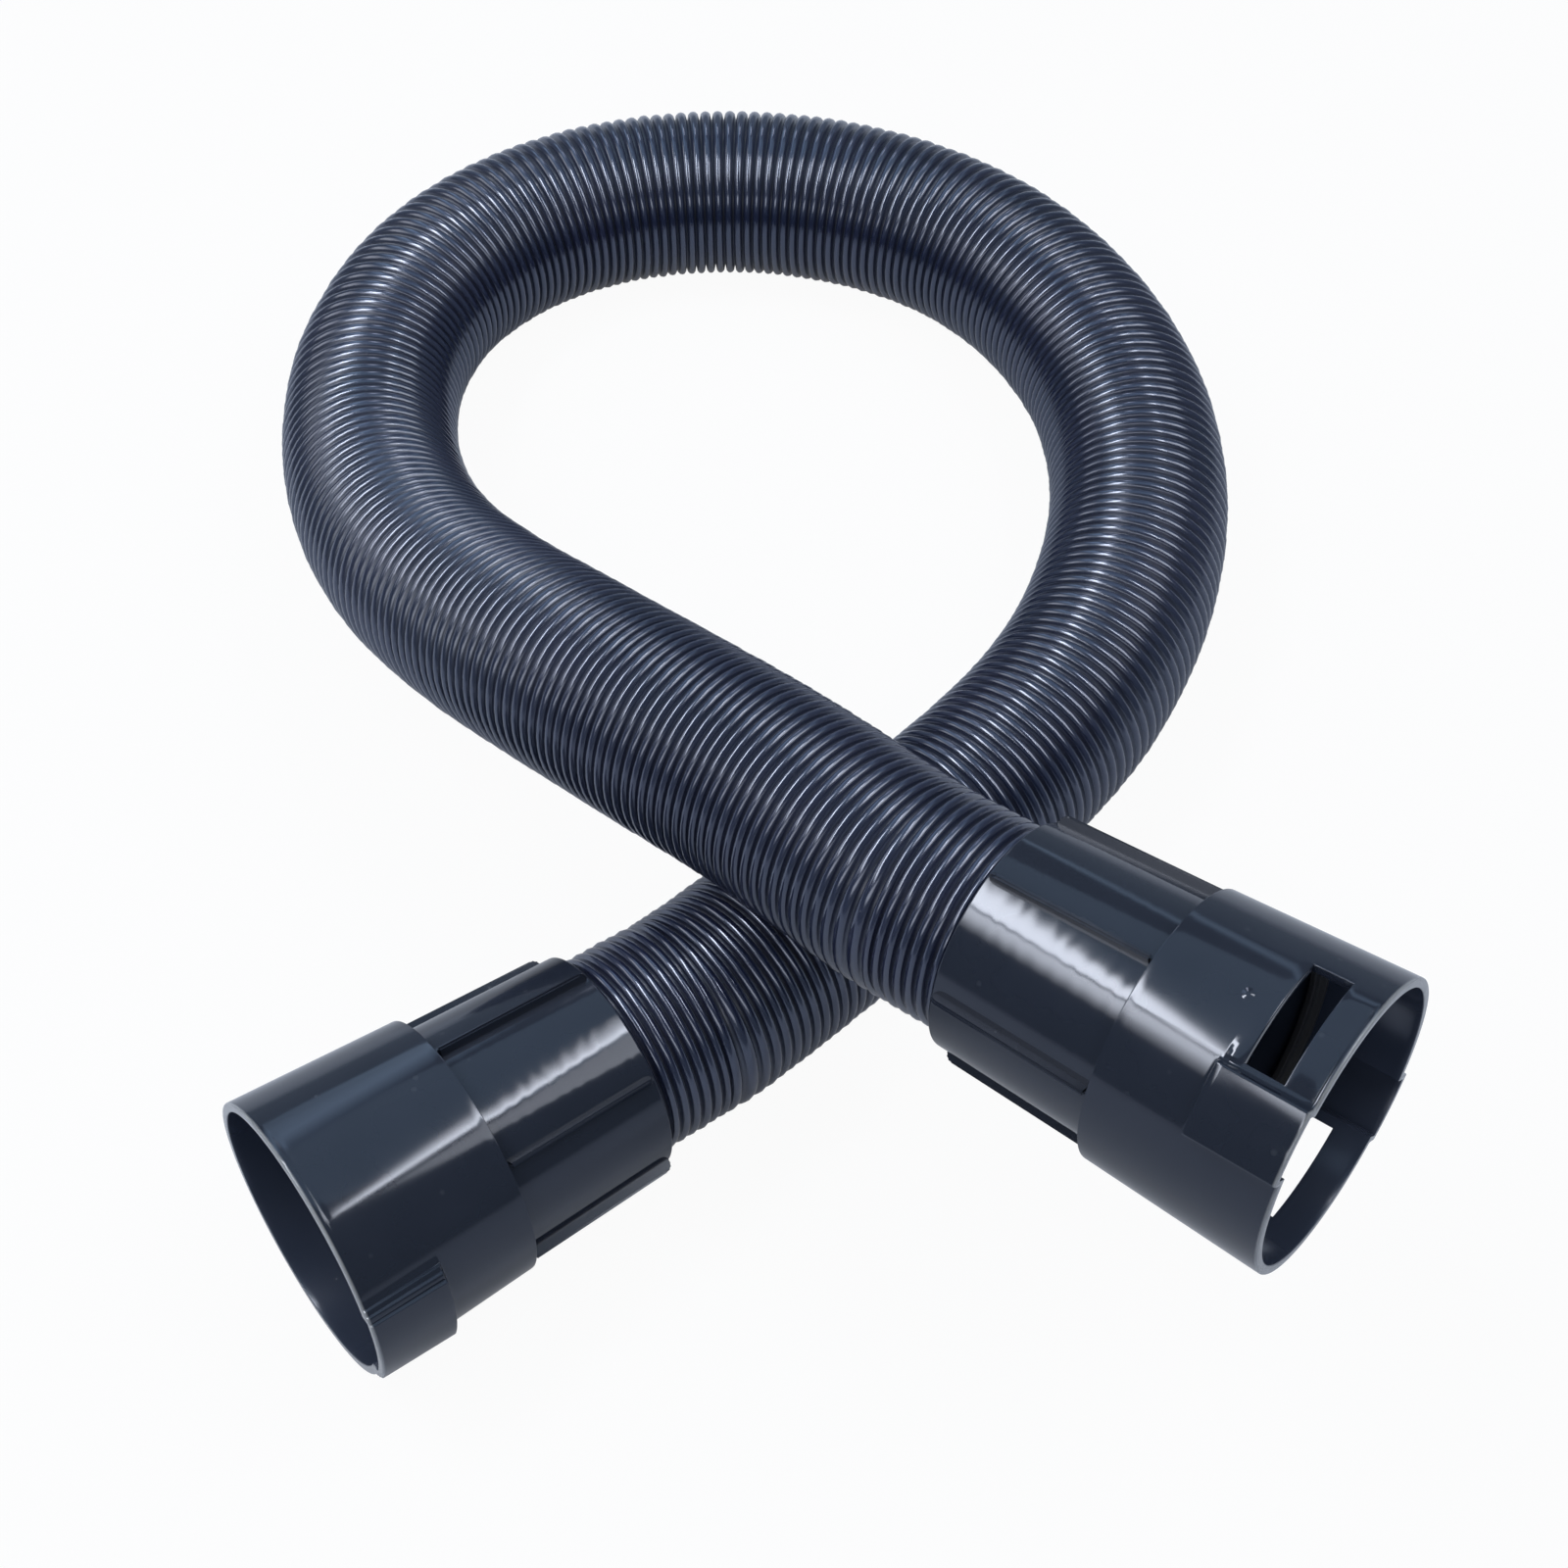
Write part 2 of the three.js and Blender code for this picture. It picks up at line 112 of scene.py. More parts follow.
# The bells' shapes. Angles are in degrees from the cuff's top, and the rest is in millimetres, back
# from the mouth. Four numbers say where a shape starts and ends to rise, then to fall.
WINDOW = {"from": -17, "to": 29.3, "front": 7.8, "back": 16.4}
DEGREE_MM = math.radians(1) * 33.5
MACHINE_BOSS = {"radius": 36.9, "across": (31, 33.6, 57.9, 60.5), "end": (20.3, 21.3)}
MACHINE_CHANNEL = {"radius": 34.9, "across": (33.2, 34.6, 56.9, 58.3), "end": (18.2, 18.9)}
RAMP = (24, 31, 31, 33.6)
RAMP_BACK = (16.8, 17.6, 19.4, 20.6)
RAMP_HEIGHT = 0.9
LAND = (-13, 1, 30.4, 31.4)
LAND_BACK = (0.9, 1.5, 9.5, 15)
LAND_DEPTH = 1.05  # at the mouth
LAND_SLOPE = 0.075  # less deep for each millimetre back
WAND_BOSS_STEPS = [
    {"radius": 35.8, "across": (foot, foot + 0.7, end - 0.7, end), "end": (18.4, 19.5)}
    for foot, end in ((64, 114), (66.4, 111.6), (69.6, 108.4))]
WAND_CHANNEL = {"radius": 33.7, "across": (69, 71, 107, 109), "end": (16.6, 17.3)}
WAND_LINE = (-34, -18, 4, 16)
WAND_LINE_BACK = (1.5, 1.75, 1.75, 3.2)
WAND_LINE_DEPTH = 0.06

MACHINE = {
    "name": "machine", "mouth": (118.7, -186.2, 89.2), "turn": -37.6, "tilt": 4.2,
    "bell_length": 43, "sleeve_length": 40, "first_fin": 11.6,
}
WAND = {
    "name": "wand", "mouth": (-100.7, -182.9, 34.11), "turn": -143.7, "tilt": 2.7,
    "bell_length": 41.5, "sleeve_length": 39.2, "first_fin": 13.5,
}

# The hose's middle line between its straight ends, from the machine cuff to the wand cuff.
ROUTE = [
    (3, -92, 77.8), (-23, -70, 74.4), (-47.5, -47, 68), (-69.5, -22, 57.5), (-89.5, 7, 45.5),
    (-104.5, 40, 34.5), (-113, 75, 27.2), (-113, 109, 24.5), (-102.5, 140, 24.5),
    (-83.5, 163.5, 24.5), (-58.5, 179.5, 24.5), (-30.5, 187.5, 24.5), (3, 188, 24.5),
    (36.5, 179, 24.5), (65.5, 161, 24.5), (88, 133.5, 24.5), (103, 97, 24.5), (106.5, 56, 24.5),
    (98.5, 16, 24.5), (82, -19.5, 24.5), (57.5, -50.5, 24.5), (28, -79, 26),
]
STRAIGHT_ENDS = (0, 17, 34, 51, 59)  # back from the hose's cut ends


def plan_cuff(cuff):
    """Adds the distances back from the mouth, in millimetres, and the cuff's place."""
    turn, tilt = math.radians(cuff["turn"]), math.radians(cuff["tilt"])
    out = Vector((math.cos(tilt) * math.cos(turn), math.cos(tilt) * math.sin(turn), math.sin(tilt)))
    across = out.cross(Vector((0, 0, 1))).normalized()
    top = across.cross(out)
    place = Matrix((top, across, out)).transposed().to_4x4()
    place.translation = Vector(cuff["mouth"]) * MM
    cuff["place"] = place
    cuff["sleeve_start"] = cuff["bell_length"] + GAP
    cuff["sleeve_end"] = cuff["sleeve_start"] + cuff["sleeve_length"]
    cuff["spigot_tip"] = cuff["sleeve_start"] - SPIGOT_LENGTH
    cuff["groove"] = cuff["spigot_tip"] + RING_INSET
    cuff["washer"] = cuff["groove"] + RING_GROOVE_WIDTH
    cuff["step"] = cuff["washer"] + SLIP_WASHER_THICKNESS + GAP
    cuff["seal"] = cuff["bell_length"] - SEAL_INSET
    cuff["stop"] = cuff["sleeve_start"] + STOP_INSET
    cuff["hose_end"] = cuff["stop"] + HOSE_WASHER_THICKNESS + 2 * GAP
    return cuff


# ---- Node helpers ----


def fill(tree, node, inputs):
    """Gives a node its inputs, by name or number, as values or as sockets."""
    for key, value in inputs.items():
        if isinstance(value, bpy.types.NodeSocket):
            tree.links.new(value, node.inputs[key])
        else:
            node.inputs[key].default_value = value


def add_node(tree, kind, inputs=None, **settings):
    """A new node with its settings and inputs."""
    node = tree.nodes.new(kind)
    for key, value in settings.items():
        setattr(node, key, value)
    fill(tree, node, inputs or {})
    return node


def maths(tree, operation, *values):
    """A Math node's result."""
    inputs = dict(enumerate(values))
    return add_node(tree, "ShaderNodeMath", inputs, operation=operation).outputs[0]


def plus(tree, a, b):
    return maths(tree, "ADD", a, b)


def minus(tree, a, b):
    return maths(tree, "SUBTRACT", a, b)


def times(tree, a, b):
    return maths(tree, "MULTIPLY", a, b)


def new_tree(name, kind, inputs, outputs):
    """A node group. inputs and outputs hold the names of its sockets of each kind."""
    tree = bpy.data.node_groups.new(name, kind)
    for in_out, sockets in (("INPUT", inputs), ("OUTPUT", outputs)):
        for socket_kind, labels in sockets.items():
            for label in labels:
                tree.interface.new_socket(
                    label, in_out=in_out, socket_type="NodeSocket" + socket_kind)
    start = tree.nodes.new("NodeGroupInput")
    end = tree.nodes.new("NodeGroupOutput")
    return tree, start.outputs, end.inputs


def end_tree(tree, geometry, material, result):
    """Ends a Geometry Nodes tree: real geometry with its material."""
    whole = add_node(tree, "GeometryNodeRealizeInstances", {"Geometry": geometry})
    finished = add_node(tree, "GeometryNodeSetMaterial", {
        "Geometry": whole.outputs[0], "Material": material,
    })
    tree.links.new(finished.outputs[0], result)


def mesh_from_tree(host, tree, values, name):
    """Runs a Geometry Nodes tree on host and returns its result as a plain mesh object."""
    modifier = host.modifiers.new(tree.name, "NODES")
    modifier.node_group = tree
    for item in tree.interface.items_tree:
        if item.item_type == "SOCKET" and item.in_out == "INPUT" and item.name in values:
            modifier[item.identifier] = values[item.name]
    evaluated = host.evaluated_get(bpy.context.evaluated_depsgraph_get())
    mesh = bpy.data.meshes.new_from_object(evaluated)
    mesh.name = name
    bpy.data.objects.remove(host)
    return link(name, mesh)


def link(name, data):
    """Puts a new object into the scene at the origin."""
    piece = bpy.data.objects.new(name, data)
    bpy.context.scene.collection.objects.link(piece)
    return piece


# ---- Hose ----


def curve_points(points, steps):
    """A centripetal Catmull-Rom curve through points, as the part's source draws it."""
    ends = [points[0] * 2 - points[1], *points, points[-1] * 2 - points[-2]]
    drawn = []
    for i in range(1, len(ends) - 2):
        p0, p1, p2, p3 = ends[i - 1:i + 3]
        d0, d1, d2 = ((b - a).length ** 0.5 for a, b in ((p0, p1), (p1, p2), (p2, p3)))
        leave = ((p1 - p0) / d0 - (p2 - p0) / (d0 + d1) + (p2 - p1) / d1) * d1
        reach = ((p2 - p1) / d1 - (p3 - p1) / (d1 + d2) + (p3 - p2) / d2) * d1
        for step in range(steps):
            t = step / steps
            drawn.append(
                p1 + leave * t
                + (3 * (p2 - p1) - 2 * leave - reach) * t ** 2
                + (2 * (p1 - p2) + leave + reach) * t ** 3
            )
    return drawn + [points[-1]]


def hose_line(machine, wand):
    """The hose's middle line in metres, from its cut end in one sleeve to that in the other."""
    ends = []
    for cuff in (machine, wand):
        backs = [cuff["hose_end"] + distance for distance in STRAIGHT_ENDS]
        ends.append([cuff["place"] @ Vector((0, 0, -back * MM)) for back in backs])
    free = [Vector(point) * MM for point in ROUTE]
    return curve_points([*ends[0], *free, *reversed(ends[1])], 12)


def tube_grid(tree, given, outer_rows):
    """A grid with a row for each ring of the tube, out along the hose and back through its bore.
    Returns it with the row and the column of each of its points."""
    spans = plus(tree, plus(tree, outer_rows, given["Ribs"]), 2)
    grid = add_node(tree, "GeometryNodeMeshGrid", {
        "Size X": spans, "Size Y": given["Sides"],
        "Vertices X": plus(tree, spans, 1),
        "Vertices Y": plus(tree, given["Sides"], 1),
    })
    place = add_node(tree, "ShaderNodeSeparateXYZ", {
        0: add_node(tree, "GeometryNodeInputPosition").outputs[0],
    })
    half_spans = times(tree, spans, 0.5)
    full_row = maths(tree, "ROUND", plus(tree, place.outputs["X"], half_spans))
    half_sides = times(tree, given["Sides"], 0.5)
    column = maths(tree, "ROUND", plus(tree, place.outputs["Y"], half_sides))
    # The last row comes back to the first, so the tube is closed at both ends.
    return grid.outputs["Mesh"], maths(tree, "FLOORED_MODULO", full_row, spans), column


def share_of_hose(tree, given, row, outer_rows, outside, rib_place):
    """How far along the hose each row lies, from 0 to 1."""
    back_row = minus(tree, minus(tree, row, outer_rows), 1)
    pull = maths(tree, "SINE", times(tree, rib_place, 2 * math.pi))
    narrowing = maths(tree, "DIVIDE", given["Valley narrowing"], 2 * math.pi)
    shift = times(tree, pull, narrowing)
    share_out = maths(tree, "DIVIDE", minus(tree, rib_place, shift), given["Ribs"])
    share_back = minus(tree, 1, maths(tree, "DIVIDE", back_row, given["Ribs"]))
    share = add_node(tree, "ShaderNodeMix", {"Factor": outside, "A": share_back, "B": share_out})
    # The hose is stretched most at its first bend, and least on its way there from the machine.
    stretch = add_node(tree, "ShaderNodeFloatCurve", {"Value": share.outputs["Result"]})
    line = stretch.mapping.curves[0]
    for at, value in (
            (0.06, 0.051), (0.12, 0.103), (0.2, 0.166), (0.26, 0.221), (0.34, 0.318),
            (0.42, 0.414), (0.55, 0.552), (0.7, 0.714), (0.85, 0.866), (0.93, 0.939)):
        line.points.new(at, value)
    stretch.mapping.update()
    return stretch.outputs[0]


def tube_radius(tree, given, outside, rib_place):
    """The ribbed radius outside, and the bore's inside."""
    phase = maths(tree, "FRACT", rib_place)
    swell = maths(tree, "ABSOLUTE", maths(tree, "SINE", times(tree, phase, math.pi)))
    round_swell = maths(tree, "POWER", swell, given["Rib roundness"])
    chance = add_node(tree, "FunctionNodeRandomValue", {
        "ID": maths(tree, "FLOOR", plus(tree, rib_place, 0.01)), "Seed": 7,
    }, data_type="FLOAT")
    uneven = times(tree, minus(tree, chance.outputs["Value"], 0.5), given["Unevenness"])
    height = times(tree, given["Rib height"], plus(tree, uneven, 1))
    root = minus(tree, given["Crest radius"], given["Rib height"])
    ribbed = plus(tree, root, times(tree, height, round_swell))
    return add_node(tree, "ShaderNodeMix", {
        "Factor": outside, "A": given["Bore radius"], "B": ribbed,
    }).outputs["Result"]


def ring_place(tree, given, share, radius, share_round):
    """The place of each point: radius away from the line, and pressed flat where it would lie
    below the floor."""
    upright = add_node(tree, "GeometryNodeSetCurveNormal", {"Curve": given["Line"]}, mode="Z_UP")
    sample = add_node(tree, "GeometryNodeSampleCurve", {
        "Curves": upright.outputs[0], "Factor": share,
    }, mode="FACTOR")
    along, side = sample.outputs["Tangent"], sample.outputs["Normal"]
    over = add_node(tree, "ShaderNodeVectorMath", {0: along, 1: side}, operation="CROSS_PRODUCT")
    turn = times(tree, share_round, -2 * math.pi)
    reach = []
    for direction, wave in ((side, "COSINE"), (over.outputs[0], "SINE")):
        amount = times(tree, radius, maths(tree, wave, turn))
        reach.append(add_node(tree, "ShaderNodeVectorMath", {
            0: direction, "Scale": amount,
        }, operation="SCALE").outputs[0])
    ring = add_node(tree, "ShaderNodeVectorMath", {0: reach[0], 1: reach[1]}, operation="ADD")
    spot = add_node(tree, "ShaderNodeVectorMath", {
        0: sample.outputs["Position"], 1: ring.outputs[0],
    }, operation="ADD")
    parts = add_node(tree, "ShaderNodeSeparateXYZ", {0: spot.outputs[0]}).outputs
    return add_node(tree, "ShaderNodeCombineXYZ", {
        "X": parts["X"], "Y": parts["Y"],
        "Z": maths(tree, "MAXIMUM", parts["Z"], LOWEST * MM),
    }).outputs[0]


def ribbed_tube_tree():
    """Geometry Nodes: a closed tube along a curve, ribbed outside and smooth in its bore."""
    tree, given, result = new_tree("ribbed tube", "GeometryNodeTree", {
        "Geometry": ["Line"],
        "Int": ["Ribs", "Steps per rib", "Sides"],
        "Float": ["Crest radius", "Rib height", "Rib roundness", "Valley narrowing",
                  "Unevenness", "Bore radius"],
        "Material": ["Material"],
    }, {"Geometry": ["Tube"]})
    outer_rows = times(tree, given["Ribs"], given["Steps per rib"])
    mesh, row, column = tube_grid(tree, given, outer_rows)
    outside = maths(tree, "LESS_THAN", row, plus(tree, outer_rows, 0.5))
    rib_place = maths(tree, "DIVIDE", row, given["Steps per rib"])
    share_round = maths(tree, "DIVIDE", column, given["Sides"])
    share = share_of_hose(tree, given, row, outer_rows, outside, rib_place)
    radius = tube_radius(tree, given, outside, rib_place)
    place = ring_place(tree, given, share, radius, share_round)

    pattern_place = add_node(tree, "ShaderNodeCombineXYZ", {"X": share_round, "Y": rib_place})
    stored = add_node(tree, "GeometryNodeStoreNamedAttribute", {
        "Geometry": mesh, "Name": "UVMap", "Value": pattern_place.outputs[0],
    }, data_type="FLOAT2", domain="CORNER")
    placed = add_node(tree, "GeometryNodeSetPosition", {
        "Geometry": stored.outputs[0], "Position": place,
    })
    joined = add_node(tree, "GeometryNodeMergeByDistance", {
        "Geometry": placed.outputs[0], "Distance": 0.000002,
    })
    smooth = add_node(tree, "GeometryNodeSetShadeSmooth", {"Geometry": joined.outputs[0]})
    end_tree(tree, smooth.outputs[0], given["Material"], result["Tube"])
    return tree


def make_hose(line, material):
    """The ribbed hose along a line of places in metres."""
    curve = bpy.data.curves.new("hose line", "CURVE")
    curve.dimensions = "3D"
    spline = curve.splines.new("POLY")
    spline.points.add(len(line) - 1)
    for point, place in zip(spline.points, line):
        point.co = (*place, 1)
    return mesh_from_tree(link("hose line", curve), ribbed_tube_tree(), {
        "Ribs": RIB_COUNT, "Steps per rib": RIB_STEPS, "Sides": HOSE_SIDES,
        "Crest radius": CREST_RADIUS * MM, "Rib height": RIB_HEIGHT * MM,
        "Rib roundness": 0.5, "Valley narrowing": 0.3, "Unevenness": 0.06,
        "Bore radius": BORE_RADIUS * MM, "Material": material,
    }, "ribbed_hose")


# ---- Cuff pieces ----


def soften(profile, reach=0.35, steps=3):
    """Rounds the corners of a closed section of (radius, back) points, and keeps its flats flat."""
    soft = []
    count = len(profile)
    for i, corner in enumerate(profile):
        here = Vector(corner)
        before, after = Vector(profile[i - 1]), Vector(profile[(i + 1) % count])
        cut_in = min(reach, (before - here).length * 0.35)
        cut_out = min(reach, (after - here).length * 0.35)
        start = here + (before - here).normalized() * cut_in
        end = here + (after - here).normalized() * cut_out
        soft.append(tuple(here + (start - here) * 1.2))
        for step in range(steps + 1):
            t = step / steps
            soft.append(tuple(start * (1 - t) ** 2 + here * 2 * t * (1 - t) + end * t ** 2))
        soft.append(tuple(here + (end - here) * 1.2))
    return soft


def shell_mesh(name, cuff, rows, angles, material, holes=(), walls=(), inside=None,
               first_inside=None):
    """A closed ring shell. rows hold one (radius, back) for each angle, in order round the section.
    holes are the faces left out, as (row, column), walls joins pairs of rows round them, and inside
    is the finish from the row first_inside on."""
    name = cuff["name"] + "_" + name
    mesh = bpy.data.meshes.new(name)
    verts = []
    for row in rows:
        for angle, (radius, back) in zip(angles, row):
            t = math.radians(angle)
            verts.append(cuff["place"] @ (
                Vector((radius * math.cos(t), radius * math.sin(t), -back)) * MM))
    count = len(angles)
    faces, places, finish = [], [], []

    def add_face(corners):
        faces.append([row % len(rows) * count + k % count for row, k in corners])
        finish.append(int(inside is not None and all(
            row % len(rows) >= first_inside for row, k in corners)))
        for row, k in corners:
            angle = angles[k % count] + (360 if k >= count else 0)
            back = rows[row % len(rows)][k % count][1]
            places.append((math.radians(angle) * UNROLLED_RADIUS * MM, back * MM))

    for j in range(len(rows)):
        for k in range(count):
            if (j, k) not in holes:
                add_face([(j, k), (j, k + 1), (j + 1, k + 1), (j + 1, k)])
    for corners in walls:
        add_face(corners)
    mesh.from_pydata(verts, [], faces)
    layer = mesh.uv_layers.new(name="UVMap")
    for loop, spot in zip(layer.data, places):
        loop.uv = spot
    mesh.polygons.foreach_set("material_index", finish)
    build = bmesh.new()
    build.from_mesh(mesh)
    loose = [vert for vert in build.verts if not vert.link_faces]
    bmesh.ops.delete(build, geom=loose, context="VERTS")
    bmesh.ops.recalc_face_normals(build, faces=build.faces)
    build.to_mesh(mesh)
    build.free()
    mesh.shade_smooth()
    mesh.set_sharp_from_angle(angle=SHARP_ANGLE)
    mesh.materials.append(material)
    if inside:
        mesh.materials.append(inside)
    return link(name, mesh)


def ring_piece(name, cuff, profile, material, reach=0.35, sides=128):
    """A piece turned on the cuff's axis."""
    angles = [360 * k / sides for k in range(sides)]
    rows = [[point] * sides for point in soften(profile, reach)]
    return shell_mesh(name, cuff, rows, angles, material)


def lines_at(edges, step, start, end):
    """Even lines from start to end, with the lines near each edge taken from edges instead."""
    count = round((end - start) / step)
    even = [start + (end - start) * i / count for i in range(count + 1)]
    near = sorted(edges)
    kept = [x for x in even if all(abs(x - edge) > 0.4 * step for edge in near)]
    return sorted(kept + near)


def rise(x, foot, top):
    """0 at foot, 1 at top, with rounded corners."""
    t = min(max((x - foot) / (top - foot), 0), 1)
    return t ** 3 * (t * (6 * t - 15) + 10)


def rise_lines(foot, top):
    return [foot + (top - foot) * t for t in (0, 0.12, 0.25, 0.38, 0.5, 0.62, 0.75, 0.88, 1)]


def edge_drop(distance, reach):
    """How far a rounded edge lies under its two faces, that far from the edge."""
    if distance >= reach:
        return 0
    return reach - math.sqrt(reach ** 2 - (reach - max(distance, 0)) ** 2)


def plateau(x, foot, top, edge, end):
    """0 up to foot, 1 from top to edge and 0 from end on, with rounded corners."""
    return rise(x, foot, top) * (1 - rise(x, edge, end))


def wrapped(angle):
    """The same angle, from -180 to 180 degrees."""
    return (angle + 180) % 360 - 180


def thinned(values, least):
    """Values in order, without those closer than least to the one before."""
    kept = []
    for value in sorted(values):
        if not kept or value - kept[-1] > least:
            kept.append(value)
    return kept


# ---- Bells ----


def raised(angle, back, base, shape):
    """How far a boss or channel stands out from the radius base."""
    across = plateau(angle, *shape["across"])
    return (shape["radius"] - base) * across * (1 - rise(back, *shape["end"]))


def machine_outer(angle, back, base):
    """The machine bell's outside: two key bosses, each with a ramp beside it, and two lower lands
    between window and rim."""
    radius = base
    for turn in (0, 180):
        a = wrapped(angle - turn)
        radius += raised(a, back, base, MACHINE_BOSS)
        radius += RAMP_HEIGHT * plateau(a, *RAMP) * plateau(back, *RAMP_BACK)
        depth = LAND_DEPTH - LAND_SLOPE * back
        radius -= depth * plateau(a, *LAND) * plateau(back, *LAND_BACK)
    return radius


def machine_inner(angle, back, base):
    """Its inside: a channel under each boss for a lug."""
    return base + sum(
        raised(wrapped(angle - turn), back, base, MACHINE_CHANNEL) for turn in (0, 180))


def wand_outer(angle, back, base):
    """The wand bell's outside: one key boss with stepped flanks, and a thin line by the rim."""
    a = wrapped(angle)
    boss = sum(raised(-a, back, base, step) for step in WAND_BOSS_STEPS) / len(WAND_BOSS_STEPS)
    return base + boss - WAND_LINE_DEPTH * plateau(a, *WAND_LINE) * plateau(back, *WAND_LINE_BACK)


def wand_inner(angle, back, base):
    """Its inside: a channel under the boss."""
    return base + raised(-wrapped(angle), back, base, WAND_CHANNEL)


def edge_distance(angle, back, turn):
    """How far outside a latch window's edge a place on the bell is, in millimetres."""
    a = wrapped(angle - turn)
    beside = max(WINDOW["from"] - a, a - WINDOW["to"]) * DEGREE_MM
    beyond = max(WINDOW["front"] - back, back - WINDOW["back"])
    return math.hypot(max(beside, 0), max(beyond, 0))


def window_drop(angle, back, windows):
    """How far the windows' rounded edges lie under the bell's outside at a place."""
    nearest = min((edge_distance(angle, back, turn) for turn in windows), default=WINDOW_ROUND)
    return edge_drop(nearest, WINDOW_ROUND)


def bell_rows(cuff, outer, inner, angles, outer_backs, inner_backs, windows):
    """The bell's section at each angle, from its rim along the outside and back inside."""
    length = cuff["bell_length"]
    rows = []
    for back in outer_backs:
        base = BELL_RIM_RADIUS + (BELL_BACK_RADIUS - BELL_RIM_RADIUS) * back / length
        drop = edge_drop(back, RIM_ROUND)
        rows.append([(outer(a, back, base) - drop - window_drop(a, back, windows), back)
                     for a in angles])
    # The first and the last corner only lead in and out, so their six points each are left out.
    turned = soften([
        (BELL_BACK_RADIUS, length - 0.6), (BELL_BACK_RADIUS, length), (BEARING_RADIUS, length),
        (BEARING_RADIUS, cuff["step"]), (CHAMBER_RADIUS, cuff["step"]),
        (CHAMBER_RADIUS, SOCKET_DEPTH), (CHAMBER_RADIUS + 1, SOCKET_DEPTH),
    ], 0.4)[6:-6]
    rows += [[point] * len(angles) for point in turned]
    for back in reversed(inner_backs):
        base = SOCKET_RADIUS + (SOCKET_BOTTOM_RADIUS - SOCKET_RADIUS) * back / SOCKET_DEPTH
        drop = edge_drop(back, RIM_INNER_ROUND)
        rows.append([(inner(a, back, base) + drop, back) for a in angles])
    return rows


def window_openings(angles, outer_backs, inner_backs, first_in, windows):
    """The faces that the windows leave out, and the walls through the bell round each of them."""
    out_rows = {round(back, 3): j for j, back in enumerate(outer_backs)}
    in_rows = {round(back, 3): first_in + j for j, back in enumerate(reversed(inner_backs))}
    front, rear = WINDOW["front"], WINDOW["back"]
    count = len(angles)
    holes, walls = set(), []
    for turn in windows:
        start, end = (wrapped(WINDOW[key] + turn) for key in ("from", "to"))
        first = min(range(count), key=lambda k: abs(angles[k] - start))
        last = min(range(count), key=lambda k: abs(angles[k] - end))
        span = [k % count for k in range(first, last if last > first else last + count)]
        out_span = range(out_rows[front], out_rows[rear])
        in_span = range(in_rows[rear], in_rows[front])
        holes |= {(j, k) for j in (*out_span, *in_span) for k in span}
        for back in (front, rear):
            walls += [[(out_rows[back], k), (out_rows[back], k + 1),
                       (in_rows[back], k + 1), (in_rows[back], k)] for k in span]
        levels = sorted(b for b in out_rows if front <= b <= rear and b in in_rows)
        for k in (first, last):
            walls += [[(out_rows[a], k), (out_rows[b], k), (in_rows[b], k), (in_rows[a], k)]
                      for a, b in zip(levels, levels[1:])]
    return holes, walls


def make_bell(cuff, finishes, outer, inner, angle_edges, outer_edges, inner_edges, windows=()):
    """A bell: its outside and socket follow outer and inner, and its back is turned."""
    angles = [a for a in lines_at(set(angle_edges), ANGLE_STEP, -180, 180) if a < 179.99]
    rim_lines = [RIM_ROUND * t for t in EDGE_STEPS]
    outer_backs = lines_at(rim_lines + outer_edges, BACK_STEP, 0, cuff["bell_length"] - 0.5)
    inner_lines = [RIM_INNER_ROUND * t for t in EDGE_STEPS]
    inner_backs = lines_at(inner_lines + inner_edges, BACK_STEP, 0, SOCKET_DEPTH)
    rows = bell_rows(cuff, outer, inner, angles, outer_backs, inner_backs, windows)
    holes, walls = window_openings(
        angles, outer_backs, inner_backs, len(rows) - len(inner_backs), windows)
    return shell_mesh(
        "bell_moulding", cuff, rows, angles, finishes[cuff["name"] + " bell"],
        holes, walls, finishes["socket"], len(outer_backs) + 2)


def window_lines(low, high, reach):
    """Grid lines round a window's two edges, fine enough for its rounding."""
    return [low - reach * t for t in EDGE_STEPS] + [high + reach * t for t in EDGE_STEPS]


def flank_lines(shape, count):
    """Even grid lines up the two flanks of a boss or channel."""
    foot, top, edge, end = shape["across"]
    return [start + (stop - start) * k / count
            for start, stop in ((foot, top), (edge, end)) for k in range(count + 1)]


def machine_bell(cuff, finishes):
    """The machine bell, with its grid lines along every edge of its windows and bosses."""
    marks = window_lines(WINDOW["from"], WINDOW["to"], WINDOW_ROUND / DEGREE_MM)
    marks += [-13, -9.5, -6, -2.5, 1]
    marks += flank_lines(MACHINE_BOSS, 5) + flank_lines(MACHINE_CHANNEL, 5)
    angle_edges = thinned([wrapped(a + turn) for turn in (0, 180) for a in marks], 0.12)
    front, rear = WINDOW["front"], WINDOW["back"]
    levels = [front + (rear - front) * t for t in (0.25, 0.5, 0.75)]
    outer_edges = (window_lines(front, rear, WINDOW_ROUND) + levels
                   + rise_lines(*LAND_BACK[:2]) + rise_lines(*MACHINE_BOSS["end"]))
    inner_edges = [front, rear, *levels, *rise_lines(*MACHINE_CHANNEL["end"])]
    return make_bell(cuff, finishes, machine_outer, machine_inner, angle_edges,
                     outer_edges, inner_edges, windows=(0, 180))


def wand_bell(cuff, finishes):
    """The wand bell, with its grid lines along every edge of its boss."""
    marks = flank_lines(WAND_CHANNEL, 4)
    for step in WAND_BOSS_STEPS:
        marks += flank_lines(step, 5)
    boss_end = rise_lines(*WAND_BOSS_STEPS[0]["end"])
    outer_edges = boss_end + [1.5, 1.56, 1.62, 1.68, 1.75, 2.1, 2.5, 2.9, 3.2]
    return make_bell(cuff, finishes, wand_outer, wand_inner, thinned([-a for a in marks], 0.08),
                     outer_edges, rise_lines(*WAND_CHANNEL["end"]))


